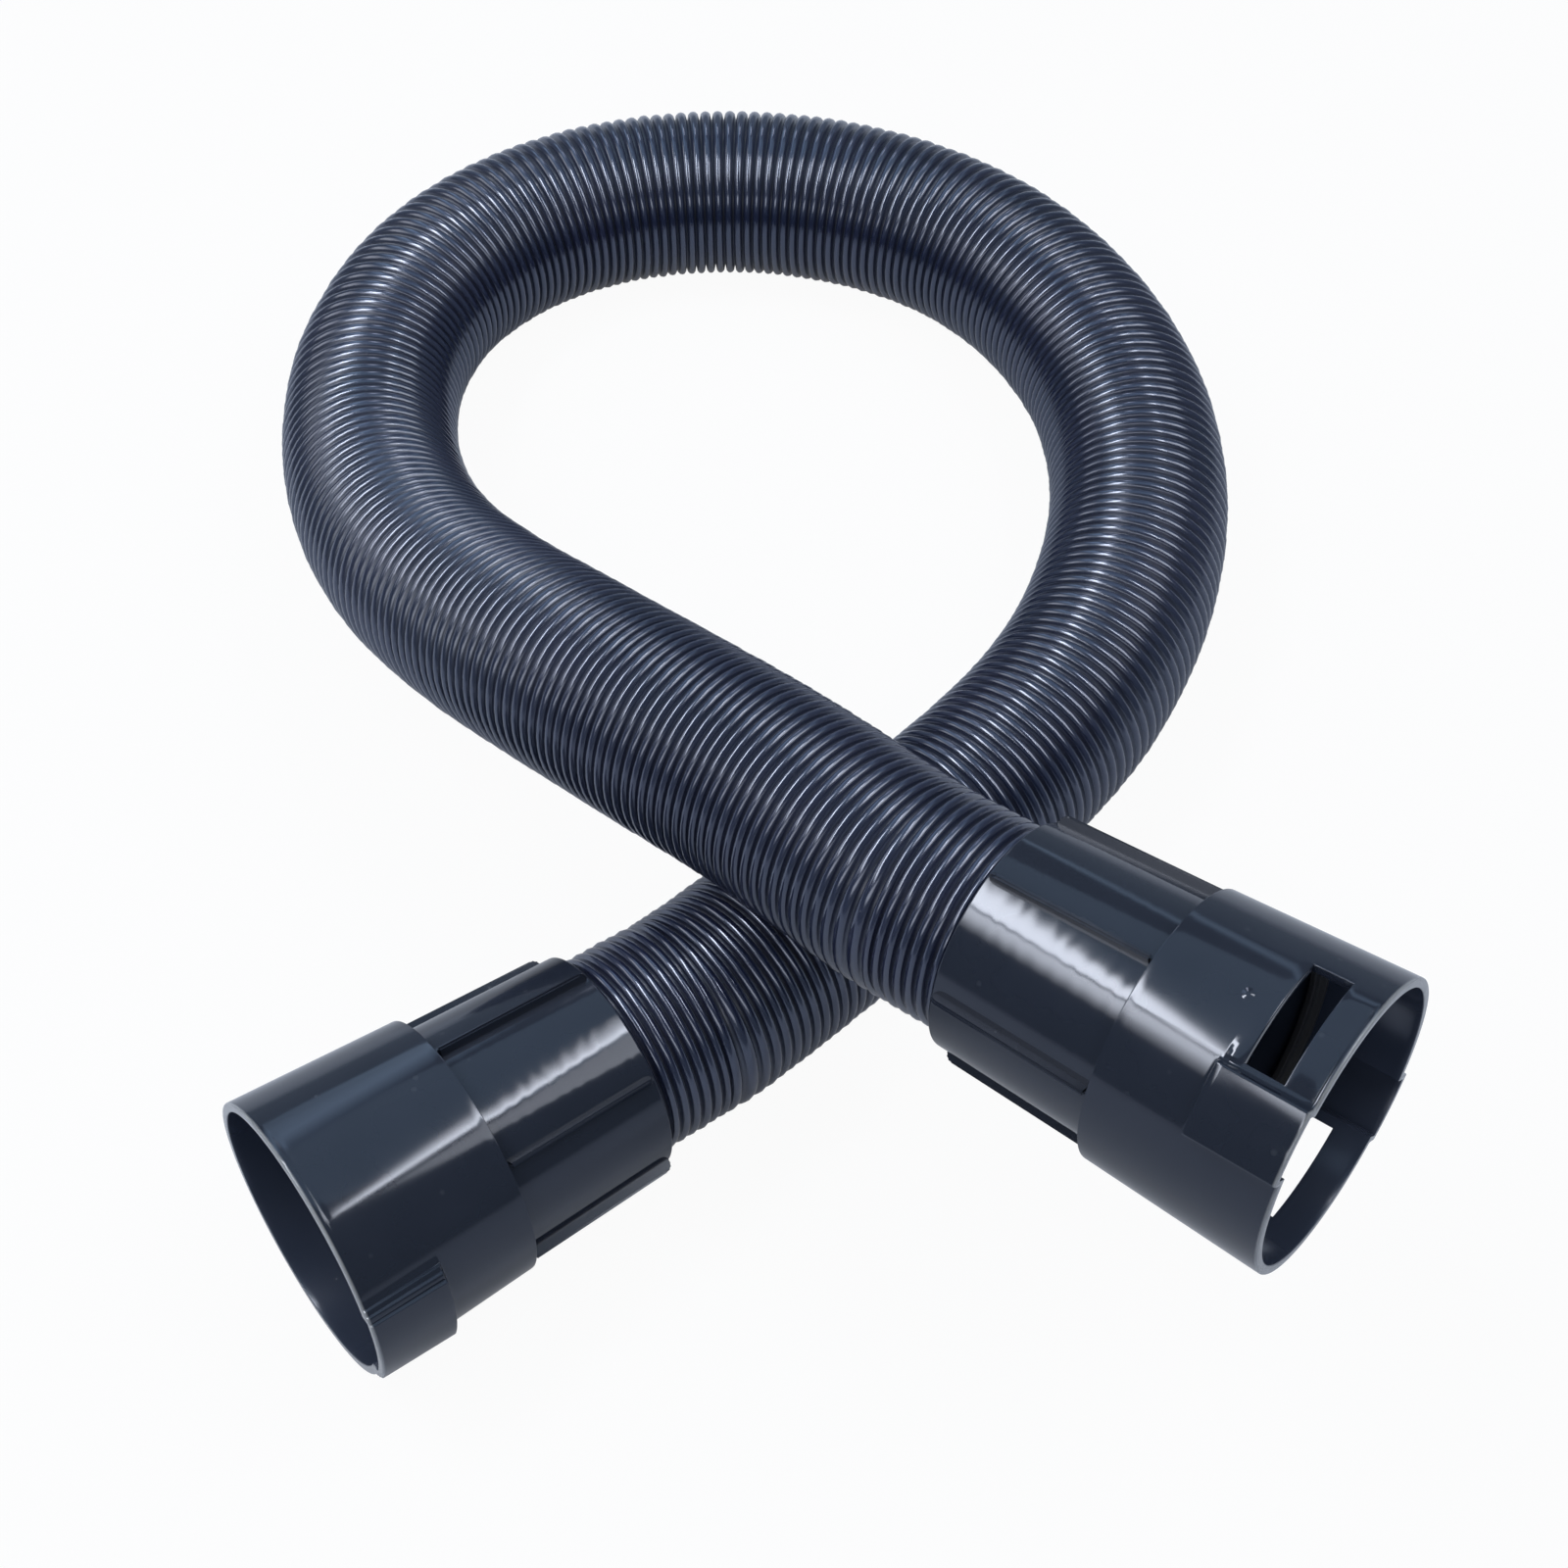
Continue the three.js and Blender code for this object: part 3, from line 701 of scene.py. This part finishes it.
# ---- Sleeves and inner pieces ----


def make_sleeve(cuff, material):
    """The sleeve that the hose screws into, with the spigot that the bell turns on."""
    start, end, tip = cuff["sleeve_start"], cuff["sleeve_end"], cuff["spigot_tip"]
    groove, stop = cuff["groove"], cuff["stop"]
    seal_bottom, ring_bottom = SPIGOT_RADIUS - SEAL_CORD - GAP, SPIGOT_RADIUS - RING_GROOVE_DEPTH
    seal_front = cuff["seal"] - SEAL_GROOVE_WIDTH / 2
    seal_back = cuff["seal"] + SEAL_GROOVE_WIDTH / 2
    profile = [
        (SPIGOT_BORE_RADIUS, tip), (SPIGOT_BORE_RADIUS, stop - STOP_WIDTH),
        (STOP_BORE_RADIUS, stop - STOP_WIDTH), (STOP_BORE_RADIUS, stop),
        (SLEEVE_BORE_RADIUS, stop), (SLEEVE_BORE_RADIUS, end), (SLEEVE_END_RADIUS, end),
        (SLEEVE_FRONT_RADIUS, start), (SPIGOT_RADIUS, start), (SPIGOT_RADIUS, seal_back),
        (seal_bottom, seal_back), (seal_bottom, seal_front), (SPIGOT_RADIUS, seal_front),
        (SPIGOT_RADIUS, groove + RING_GROOVE_WIDTH), (ring_bottom, groove + RING_GROOVE_WIDTH),
        (ring_bottom, groove), (SPIGOT_RADIUS, groove), (SPIGOT_RADIUS, tip),
    ]
    return ring_piece("sleeve_moulding", cuff, profile, material)


def fin_tree():
    """Geometry Nodes: copies of one fin at even angles round the cuff's axis."""
    tree, given, result = new_tree("fins round a sleeve", "GeometryNodeTree", {
        "Geometry": ["Fin"], "Int": ["Count"], "Float": ["First angle"], "Material": ["Material"],
    }, {"Geometry": ["Fins"]})
    spots = add_node(tree, "GeometryNodeMeshLine", {
        "Count": given["Count"], "Offset": (0, 0, 0),
    })
    index = add_node(tree, "GeometryNodeInputIndex").outputs[0]
    share = maths(tree, "DIVIDE", index, given["Count"])
    angle = plus(tree, times(tree, share, 2 * math.pi), given["First angle"])
    turn = add_node(tree, "FunctionNodeAxisAngleToRotation", {"Axis": (0, 0, 1), "Angle": angle})
    copies = add_node(tree, "GeometryNodeInstanceOnPoints", {
        "Points": spots.outputs[0], "Instance": given["Fin"], "Rotation": turn.outputs[0],
    })
    end_tree(tree, copies.outputs[0], given["Material"], result["Fins"])
    return tree


def make_fins(cuff, tree, material):
    """Thin fins from the bell to just short of the hose, rounded at that end."""
    start, end = cuff["sleeve_start"] + GAP, cuff["sleeve_end"] - FIN_END_INSET
    foot, end_top = FIN_FOOT_RADIUS, FIN_END_RADIUS
    outline = [
        (foot, start), (FIN_FRONT_RADIUS, start), (end_top + 0.05, end - 1.6),
        (end_top - 0.35, end - 0.7), (end_top - 1.1, end - 0.15), (end_top - 1.9, end), (foot, end),
    ]
    build = bmesh.new()
    half = FIN_THICKNESS / 2
    sides = [[build.verts.new(Vector((r, y, -b)) * MM) for r, b in outline] for y in (-half, half)]
    build.faces.new(sides[0])
    build.faces.new(list(reversed(sides[1])))
    for i in range(len(outline)):
        j = (i + 1) % len(outline)
        build.faces.new([sides[0][j], sides[0][i], sides[1][i], sides[1][j]])
    bmesh.ops.recalc_face_normals(build, faces=build.faces)
    bmesh.ops.bevel(
        build, geom=build.edges[:], offset=FIN_EDGE_ROUND * MM, segments=4, affect="EDGES")
    mesh = bpy.data.meshes.new("fin")
    build.to_mesh(mesh)
    build.free()
    mesh.shade_smooth()
    mesh.set_sharp_from_angle(angle=SHARP_ANGLE)
    piece = mesh_from_tree(link("fin", mesh), tree, {
        "Count": FIN_COUNT, "First angle": math.radians(cuff["first_fin"]), "Material": material,
    }, cuff["name"] + "_sleeve_fins")
    piece.data.transform(cuff["place"])
    return piece


def make_mouth_seal(cuff, material):
    """The rubber ring on the ledge at the socket's bottom, with a lip along its outer edge."""
    seat = SOCKET_DEPTH - GAP
    front = seat - MOUTH_SEAL_THICKNESS
    inner, outer = CHAMBER_RADIUS - MOUTH_SEAL_OVERHANG, SOCKET_BOTTOM_RADIUS - GAP
    lip_inner = outer - MOUTH_SEAL_LIP_WIDTH
    return ring_piece("mouth_gasket", cuff, [
        (inner, front), (inner, seat), (outer, seat), (outer, front - MOUTH_SEAL_LIP),
        (lip_inner, front - MOUTH_SEAL_LIP), (lip_inner - MOUTH_SEAL_LIP_FOOT, front),
    ], material)


def flat_washer(name, cuff, inner, outer, front, thickness, material, reach):
    """A washer with slightly rounded edges."""
    back = front + thickness
    profile = [(outer, front), (inner, front), (inner, back), (outer, back)]
    return ring_piece(name, cuff, profile, material, reach, 96)


def make_slip_washer(cuff, material):
    return flat_washer("slip_ring", cuff, BEARING_RADIUS, BEARING_RADIUS + SLIP_WASHER_WIDTH,
                       cuff["washer"], SLIP_WASHER_THICKNESS, material, 0.15)


def make_hose_washer(cuff, material):
    return flat_washer("hose_gasket", cuff, STOP_BORE_RADIUS, SLEEVE_BORE_RADIUS - GAP,
                       cuff["stop"] + GAP, HOSE_WASHER_THICKNESS, material, 0.25)


def make_swivel_seal(cuff, material, section_sides=10, sides=96):
    """The O-ring in the spigot's groove."""
    half = SEAL_CORD / 2
    turns = [2 * math.pi * k / section_sides for k in range(section_sides)]
    section = [(SPIGOT_RADIUS - half + half * math.cos(t), cuff["seal"] + half * math.sin(t))
               for t in turns]
    angles = [360 * k / sides for k in range(sides)]
    rows = [[point] * sides for point in section]
    return shell_mesh("o_ring", cuff, rows, angles, material)


# ---- Materials ----


def moulding_group():
    """Shader group: the slow unevenness of a moulded surface, and its finest grain."""
    tree, given, result = new_tree("moulded surface", "ShaderNodeTree", {
        "Vector": ["Place"],
        "Float": ["Patch size", "Grain size", "Grain depth", "Base roughness", "Roughness change"],
    }, {"Float": ["Patches", "Roughness", "Height"]})
    patches = add_node(tree, "ShaderNodeTexNoise", {
        "Vector": given["Place"], "Scale": maths(tree, "DIVIDE", 1, given["Patch size"]),
        "Detail": 3.0, "Roughness": 0.5,
    }).outputs[0]
    grain = add_node(tree, "ShaderNodeTexNoise", {
        "Vector": given["Place"], "Scale": maths(tree, "DIVIDE", 1, given["Grain size"]),
        "Detail": 2.0,
    }).outputs[0]
    change = times(tree, minus(tree, patches, 0.5), given["Roughness change"])
    tree.links.new(patches, result["Patches"])
    tree.links.new(plus(tree, given["Base roughness"], change), result["Roughness"])
    fine = times(tree, grain, given["Grain depth"])
    tree.links.new(plus(tree, fine, patches), result["Height"])
    return tree


def specks_group():
    """Shader group: a few fine round specks, as a mask from 0 to 1."""
    tree, given, result = new_tree("specks and scratches", "ShaderNodeTree", {
        "Vector": ["Place"], "Float": ["Speck size", "Amount"],
    }, {"Float": ["Mask"]})
    scale = maths(tree, "DIVIDE", 1, given["Speck size"])
    dots = add_node(tree, "ShaderNodeTexVoronoi", {
        "Vector": given["Place"], "Scale": scale, "Randomness": 1.0,
    }, feature="F1")
    near = add_node(tree, "ShaderNodeMapRange", {
        "Value": dots.outputs["Distance"], "From Min": 0.22, "From Max": 0.08,
    }).outputs[0]
    rare = add_node(tree, "ShaderNodeSeparateColor", {0: dots.outputs["Color"]}).outputs[0]
    chosen = maths(tree, "LESS_THAN", rare, given["Amount"])
    tree.links.new(times(tree, near, chosen), result["Mask"])
    return tree


def new_material(name):
    material = bpy.data.materials.new(name)
    material.use_nodes = True
    return material, material.node_tree


def use_group(tree, group, inputs):
    return add_node(tree, "ShaderNodeGroup", inputs, node_tree=group).outputs


def surface_material(name, moulding, settings):
    """A new material, with its tree, texture coordinates and moulded surface."""
    material, tree = new_material(name)
    place = add_node(tree, "ShaderNodeTexCoord").outputs
    surface = use_group(tree, moulding, {"Place": place["Object"], **settings})
    return material, tree, place, surface


def finish_surface(tree, inputs, height=None):
    """Gives the material's own shader its inputs, and a bump from a height in metres."""
    shader = tree.nodes["Principled BSDF"]
    fill(tree, shader, inputs)
    if height:
        bump = add_node(tree, "ShaderNodeBump", {
            "Height": height, "Strength": 1.0, "Distance": 1.0,
        })
        tree.links.new(bump.outputs[0], shader.inputs["Normal"])


def colour_mix(tree, mask, low, high):
    """low where the mask is 0 and high where it is 1, each a colour or a socket."""
    node = add_node(tree, "ShaderNodeMix", data_type="RGBA")
    for key, kind, value in (("Factor", "VALUE", mask), ("A", "RGBA", low), ("B", "RGBA", high)):
        socket = next(s for s in node.inputs if s.name == key and s.type == kind)
        if isinstance(value, bpy.types.NodeSocket):
            tree.links.new(value, socket)
        else:
            socket.default_value = (*value, 1)
    return next(s for s in node.outputs if s.type == "RGBA")


def faded(tree, value, full, none, height=1):
    """A mask that is height up to the value full and falls to 0 at the value none."""
    return add_node(tree, "ShaderNodeMapRange", {
        "Value": value, "From Min": full, "From Max": none, "To Min": height, "To Max": 0,
    }).outputs[0]


def speckled(tree, specks, place, size, amount, strength, base, colour):
    """base with fine specks of a colour, and the specks' mask."""
    mask = use_group(tree, specks, {
        "Place": place["Object"], "Speck size": size, "Amount": amount,
    })["Mask"]
    return colour_mix(tree, times(tree, mask, strength), base, colour), mask


def painted_edge_highlight(tree, spot, across, start, end):
    """A mask for a painted highlight along a boss's edge, all in metres on the UV map."""
    aside = maths(tree, "ABSOLUTE", minus(tree, spot["X"], across))
    middle = minus(tree, spot["Y"], (start + end) / 2)
    along = faded(tree, maths(tree, "ABSOLUTE", middle), (end - start) / 4, (end - start) / 2)
    return times(tree, faded(tree, aside, 0.00005, 0.0003), along)


def thread_waves(tree, place, spot):
    """The height of the faint waves where the thread inside has drawn the sleeve's wall in."""
    thread_pitch, depth = 0.0044, 0.0000026
    wander = add_node(tree, "ShaderNodeTexNoise", {
        "Vector": place["UV"], "Scale": 110.0, "Detail": 1.0,
    }).outputs[0]
    turns = plus(tree, maths(tree, "DIVIDE", spot["Y"], thread_pitch), times(tree, wander, 1.3))
    wave = maths(tree, "SINE", times(tree, turns, 2 * math.pi))
    return times(tree, wave, depth)


def round_mark(tree, place, across, back):
    """The height of a small round moulding mark, at a place in metres on the UV map."""
    apart = add_node(tree, "ShaderNodeVectorMath", {
        0: place["UV"], 1: (across, back, 0),
    }, operation="DISTANCE").outputs["Value"]
    return faded(tree, apart, 0.0005, 0.0013, 0.0002)


def cuff_plastic(name, moulding, specks, roughness=0.1, shade=1.0, shine=0.5, sink_marks=False,
                 rim=False, edges=(), marks=()):
    """Polished near-black plastic. The sleeves show where the thread inside has drawn them in.
    A rim and the boss edges, each (across, from, to), get painted highlights as paler lines in the
    base colour, and marks are the places of small round moulding marks, all in metres on the UV
    map. shade scales the base colours, and above 1 it paints in fill light."""
    material, tree, place, surface = surface_material(name, moulding, {
        "Patch size": 0.016, "Grain size": 0.0004, "Grain depth": 0.03,
        "Base roughness": roughness, "Roughness change": 0.05,
    })
    spot = add_node(tree, "ShaderNodeSeparateXYZ", {0: place["UV"]}).outputs
    # shade scales the base colours; above 1 it lightens them as painted fill light.
    dark, light = ([shade * part for part in colour] for colour in (
        (0.008, 0.011, 0.019), (0.012, 0.0155, 0.026)))
    base = colour_mix(tree, surface["Patches"], dark, light)
    marked, dots = speckled(tree, specks, place, 0.0035, 0.06, 0.12, base, (0.09, 0.1, 0.12))
    # Painted highlight: with rim, the bell's outer edge at the mouth is painted paler, standing in
    # for the bright line that light draws along it.
    if rim:
        painted_rim_highlight = times(tree, faded(tree, spot["Y"], 0.0002, 0.0007),
                       plus(tree, surface["Patches"], 0.45))
        marked = colour_mix(tree, painted_rim_highlight, marked, (0.2, 0.215, 0.235))
    # Painted highlights: thin paler lines along the boss edges, where the light would catch them.
    for edge in edges:
        marked = colour_mix(tree, painted_edge_highlight(tree, spot, *edge), marked, (0.16, 0.17, 0.19))
    height = times(tree, surface["Height"], 0.000012)
    if sink_marks:
        height = plus(tree, height, thread_waves(tree, place, spot))
    for across, back in marks:
        height = plus(tree, height, round_mark(tree, place, across, back))
    finish_surface(tree, {
        "Base Color": marked,
        "Roughness": plus(tree, surface["Roughness"], times(tree, dots, 0.08)),
        "IOR": 1.6, "Specular IOR Level": shine, "Specular Tint": (0.7, 0.77, 0.92, 1),
    }, height)
    return material


def hose_plastic(moulding, specks):
    """Semi-gloss flexible plastic, blue-black to violet-black, duller in the valleys, where its
    colour darkens with painted shade.
    """
    material, tree, place, surface = surface_material("hose plastic", moulding, {
        "Patch size": 0.03, "Grain size": 0.0006, "Grain depth": 0.04,
        "Base roughness": 0.16, "Roughness change": 0.08,
    })
    spot = add_node(tree, "ShaderNodeSeparateXYZ", {0: place["UV"]}).outputs
    phase = maths(tree, "FRACT", spot["Y"])
    crest = maths(tree, "SINE", times(tree, phase, math.pi))
    base = colour_mix(tree, surface["Patches"], (0.005, 0.01, 0.024), (0.01, 0.011, 0.033))
    # Painted shade: the colour darkens towards the valleys between the ribs.
    valley_shaded = colour_mix(tree, crest, (0.003, 0.003, 0.006), base)
    marked, _ = speckled(tree, specks, place, 0.002, 0.08, 0.2, valley_shaded, (0.12, 0.13, 0.16))
    dull = times(tree, minus(tree, 1, crest), 0.3)
    finish_surface(tree, {
        "Base Color": marked, "Roughness": plus(tree, surface["Roughness"], dull),
        "IOR": 1.9, "Coat Weight": 0.3, "Coat Roughness": 0.1, "Specular Tint": (0.66, 0.76, 1, 1),
    }, times(tree, surface["Height"], 0.00004))
    return material


def seal_rubber(moulding, specks):
    """Matte black rubber, a little dusty."""
    material, tree, place, surface = surface_material("seal rubber", moulding, {
        "Patch size": 0.008, "Grain size": 0.0003, "Grain depth": 0.25,
        "Base roughness": 0.7, "Roughness change": 0.2,
    })
    base = colour_mix(tree, surface["Patches"], (0.009, 0.01, 0.013), (0.016, 0.018, 0.023))
    dusty, _ = speckled(tree, specks, place, 0.0015, 0.2, 0.12, base, (0.1, 0.1, 0.1))
    finish_surface(tree, {
        "Base Color": dusty, "Roughness": surface["Roughness"], "Specular IOR Level": 0.3,
    }, times(tree, surface["Height"], 0.00008))
    return material


def plain_material(name, moulding, patch_size, roughness, change, dark, light, metallic=0):
    """A flat surface, slightly uneven in colour and roughness."""
    material, tree, _, surface = surface_material(name, moulding, {
        "Patch size": patch_size, "Base roughness": roughness, "Roughness change": change,
    })
    finish_surface(tree, {
        "Base Color": colour_mix(tree, surface["Patches"], dark, light),
        "Roughness": surface["Roughness"], "Metallic": metallic,
    })
    return material


# ---- Stage, lamps and camera ----


def paper_floor():
    """A white floor that keeps the object's soft shadow and shows white to the camera."""
    material, tree = new_material("white paper")
    shader = tree.nodes["Principled BSDF"]
    fill(tree, shader, {
        "Base Color": (0.38, 0.42, 0.5, 1), "Roughness": 0.9, "Specular IOR Level": 0,
    })
    path = add_node(tree, "ShaderNodeLightPath").outputs
    mirrored = maths(tree, "MAXIMUM", path["Is Glossy Ray"], path["Is Transmission Ray"])
    glowing = maths(tree, "MAXIMUM", times(tree, path["Is Camera Ray"], 0.95),
                    times(tree, mirrored, 0.16))
    glow = add_node(tree, "ShaderNodeEmission", {"Color": (1, 1, 1, 1), "Strength": 1.0})
    both = add_node(tree, "ShaderNodeMixShader", {
        0: glowing, 1: shader.outputs[0], 2: glow.outputs[0],
    })
    fill(tree, tree.nodes["Material Output"], {"Surface": both.outputs[0]})
    build = bmesh.new()
    bmesh.ops.create_grid(build, x_segments=8, y_segments=8, size=3)
    mesh = bpy.data.meshes.new("paper floor")
    build.to_mesh(mesh)
    build.free()
    mesh.materials.append(material)
    floor = link("paper_floor", mesh)


def studio_world():
    """An even, dim, bluish room that the camera sees as white as the floor's far edge."""
    world = bpy.data.worlds.new("dim studio")
    bpy.context.scene.world = world
    world.use_nodes = True
    tree = world.node_tree
    dim = tree.nodes["Background"]
    fill(tree, dim, {"Color": (0.75, 0.86, 1, 1), "Strength": 0.22})
    white = add_node(tree, "ShaderNodeBackground", {"Color": (1, 1, 1, 1), "Strength": 0.957})
    shown = add_node(tree, "ShaderNodeMixShader", {
        0: add_node(tree, "ShaderNodeLightPath").outputs["Is Camera Ray"],
        1: dim.outputs[0], 2: white.outputs[0],
    })
    fill(tree, tree.nodes["World Output"], {"Surface": shown.outputs[0]})


def soft_lamp(name, place, target, size, brightness, colour=(1, 1, 1)):
    """A flat soft lamp, size in metres, as bright as brightness times white, facing target."""
    lamp = bpy.data.lights.new(name, "AREA")
    lamp.shape = "RECTANGLE"
    lamp.size, lamp.size_y = size
    lamp.energy = brightness * math.pi * size[0] * size[1]
    lamp.color = colour
    thing = link(name, lamp)
    thing.location = place
    thing.rotation_euler = (Vector(target) - Vector(place)).to_track_quat("-Z", "Y").to_euler()


def softbox(name, lines, colour=(1, 0.97, 0.93)):
    """A lit panel a metre up. Each line across it is x and y of its far end, x and y of its near
    end, and its brightness."""
    verts, glow = [], []
    for x0, y0, x1, y1, brightness in lines:
        for t in (0, 0.5, 1):
            verts.append((x0 + (x1 - x0) * t, y0 + (y1 - y0) * t, 1))
            glow.append(brightness)
    faces = []
    for i in range(len(lines) - 1):
        for k in (0, 1):
            a = 3 * i + k
            faces.append((a, a + 1, a + 4, a + 3))
    mesh = bpy.data.meshes.new(name)
    mesh.from_pydata(verts, [], faces)
    mesh.attributes.new("glow", "FLOAT", "POINT").data.foreach_set("value", glow)
    material, tree = new_material(name)
    tree.nodes.clear()
    light = add_node(tree, "ShaderNodeEmission", {
        "Color": (*colour, 1),
        "Strength": add_node(tree, "ShaderNodeAttribute", attribute_name="glow").outputs["Fac"],
    })
    add_node(tree, "ShaderNodeOutputMaterial", {"Surface": light.outputs[0]})
    mesh.materials.append(material)
    panel = link(name, mesh)
    panel.visible_camera = False


def studio_lights():
    """The softboxes that the cuffs and the ribs mirror, and two wide lamps."""
    softbox("left_softbox", [
        (-0.22, 0.28, -0.50, -0.30, 1.3), (-0.30, 0.28, -0.525, -0.34, 18),
        (-0.575, 0.12, -0.575, -0.44, 19)])
    softbox("left_outer_softbox", [
        (-0.61, 0.0, -0.61, -0.52, 12.3), (-0.74, -0.1, -0.74, -0.64, 8.8),
        (-0.86, -0.2, -0.86, -0.70, 3.5), (-1.0, -0.25, -1.0, -0.75, 0)])
    softbox("left_near_softbox", [
        (-0.42, -0.5, -0.42, -0.9, 1.8), (-0.54, -0.5, -0.5, -0.9, 8.8),
        (-0.66, -0.62, -0.6, -0.95, 1.8)])
    softbox("left_far_softbox", [
        (-1.0, 0.9, -1.0, -0.1, 1.3), (-1.5, 1.0, -1.5, -0.2, 2.6),
        (-2.4, 1.0, -2.4, -0.3, 2.6)])
    softbox("behind_softbox", [
        (-1.3, -1.35, -1.3, -2.3, 2.6), (-0.4, -1.25, -0.4, -2.3, 3.1),
        (0.6, -1.35, 0.6, -2.3, 1.8)])
    softbox("right_softbox", [
        (0.24, 0.2, 0.42, -0.32, 0.9), (0.36, 0.2, 0.44, -0.36, 9.7),
        (0.47, 0.1, 0.47, -0.42, 21)])
    softbox("right_outer_softbox", [
        (0.5, 0.0, 0.53, -0.40, 3.2), (0.66, 0.2, 0.66, -0.45, 3.4),
        (0.82, 0.3, 0.82, -0.45, 3.8), (1.02, 0.3, 1.02, -0.45, 5),
        (1.35, 0.3, 1.35, -0.45, 0)])
    blue = (0.62, 0.8, 1)
    softbox("left_strip_softbox", [
        (-0.38, 2.4, -0.22, 0.5, 0.5), (-0.62, 2.4, -0.38, 0.5, 2.0),
        (-1.1, 2.4, -0.62, 0.5, 0.8)], blue)
    softbox("right_strip_softbox", [
        (0.40, 2.2, 0.43, 0.25, 0.3), (0.50, 2.2, 0.51, 0.25, 1.4),
        (0.66, 2.2, 0.62, 0.25, 0.4)], blue)
    softbox("far_softbox", [
        (-0.22, 1.55, -0.18, 0.95, 0.4), (-0.07, 1.55, -0.05, 0.95, 6),
        (0.09, 1.55, 0.08, 0.95, 0.4)], (0.88, 0.9, 1))
    soft_lamp("ceiling", (0.1, 0.28, 1.03), (0.1, 0.28, 0), (2.4, 1.06), 0.62, (0.64, 0.84, 1))
    soft_lamp("back wall", (-0.1, 1.9, 0.5), (-0.1, 0, 0.5), (3.2, 1.0), 0.16, blue)


def photo_camera():
    """The camera that fits the photo, and its colours."""
    looks_down = 52.27
    camera = bpy.data.cameras.new("camera")
    camera.lens = 55.15
    camera.sensor_width = 36
    thing = link("camera", camera)
    thing.location = (0.006, -0.427, 0.51324)
    thing.rotation_euler = (math.radians(90 - looks_down), 0, 0)
    bpy.context.scene.camera = thing
    bpy.context.scene.view_settings.view_transform = "Standard"


# ---- Assembly ----


def ride(piece, body, node):
    """Puts a piece on its body and hides the solid that it stands for."""
    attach(piece, body)
    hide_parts(node)


def dress_cuff(cuff, finishes, fins, bell):
    """Every piece of a cuff but its retaining ring."""
    socket, rubber = cuff["name"] + "_socket", finishes["rubber"]
    for piece, body, slot, node in (
            (bell, socket, "cuff", "bell"),
            (make_mouth_seal(cuff, rubber), socket, "rubber", "mouth_seal"),
            (make_slip_washer(cuff, finishes["slip"]), socket, "slip", "slip_washer"),
            (make_sleeve(cuff, finishes["sleeve"]), "hose", "cuff", "sleeve"),
            (make_fins(cuff, fins, finishes["fin"]), "hose", "cuff", "sleeve"),
            (make_swivel_seal(cuff, rubber), "hose", "rubber", "swivel_seal"),
            (make_hose_washer(cuff, rubber), "hose", "rubber", "hose_washer")):
        ride(piece, body, cuff["name"] + "_" + node)


def finish_nodes(nodes, finishes):
    """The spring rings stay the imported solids, with a better finish."""
    for name in ("machine_retaining_ring", "wand_retaining_ring"):
        for material_slot in nodes[name].material_slots:
            material_slot.material = finishes["spring"]


def main():
    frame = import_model()
    machine, wand = plan_cuff(MACHINE), plan_cuff(WAND)
    moulding, specks = moulding_group(), specks_group()
    finishes = {
        # The bells' rim=True paints a highlight along the mouth.
        "machine bell": cuff_plastic(
            "machine bell plastic", moulding, specks, rim=True,
            # Painted highlights along the two boss edges.
            edges=[(0.0317, 0.001, 0.0145), (-0.0626, 0.001, 0.0145)],
            marks=[(0.0039, 0.023), (0.0613, 0.0038)]),
        # rim=True: painted highlight along the wand bell's mouth.
        "wand bell": cuff_plastic("wand bell plastic", moulding, specks, rim=True),
        # Painted fill light: the socket is the bell moulding's own inside, made 2.2 times lighter
        # in colour to stand in for light that its shade lacks.
        "socket": cuff_plastic("socket plastic", moulding, specks, roughness=0.22, shade=2.2),
        "sleeve": cuff_plastic("sleeve plastic", moulding, specks, sink_marks=True),
        "fin": cuff_plastic("fin plastic", moulding, specks, roughness=0.2, shine=0.3),
        "hose": hose_plastic(moulding, specks),
        "rubber": seal_rubber(moulding, specks),
        "slip": plain_material(
            "slip washer plastic", moulding, patch_size=0.006, roughness=0.42, change=0.15,
            dark=(0.62, 0.6, 0.54), light=(0.76, 0.74, 0.69)),
        "spring": plain_material(
            "spring steel", moulding, patch_size=0.005, roughness=0.32, change=0.2,
            dark=(0.42, 0.43, 0.45), light=(0.6, 0.61, 0.63), metallic=1),
    }
    line = hose_line(machine, wand)
    hose = make_hose(line, finishes["hose"])
    ride(hose, "hose", "hose_wall")
    fins = fin_tree()
    dress_cuff(machine, finishes, fins, machine_bell(machine, finishes))
    dress_cuff(wand, finishes, fins, wand_bell(wand, finishes))
    finish_nodes(frame["nodes"], finishes)
    paper_floor()
    studio_world()
    studio_lights()
    photo_camera()


main()
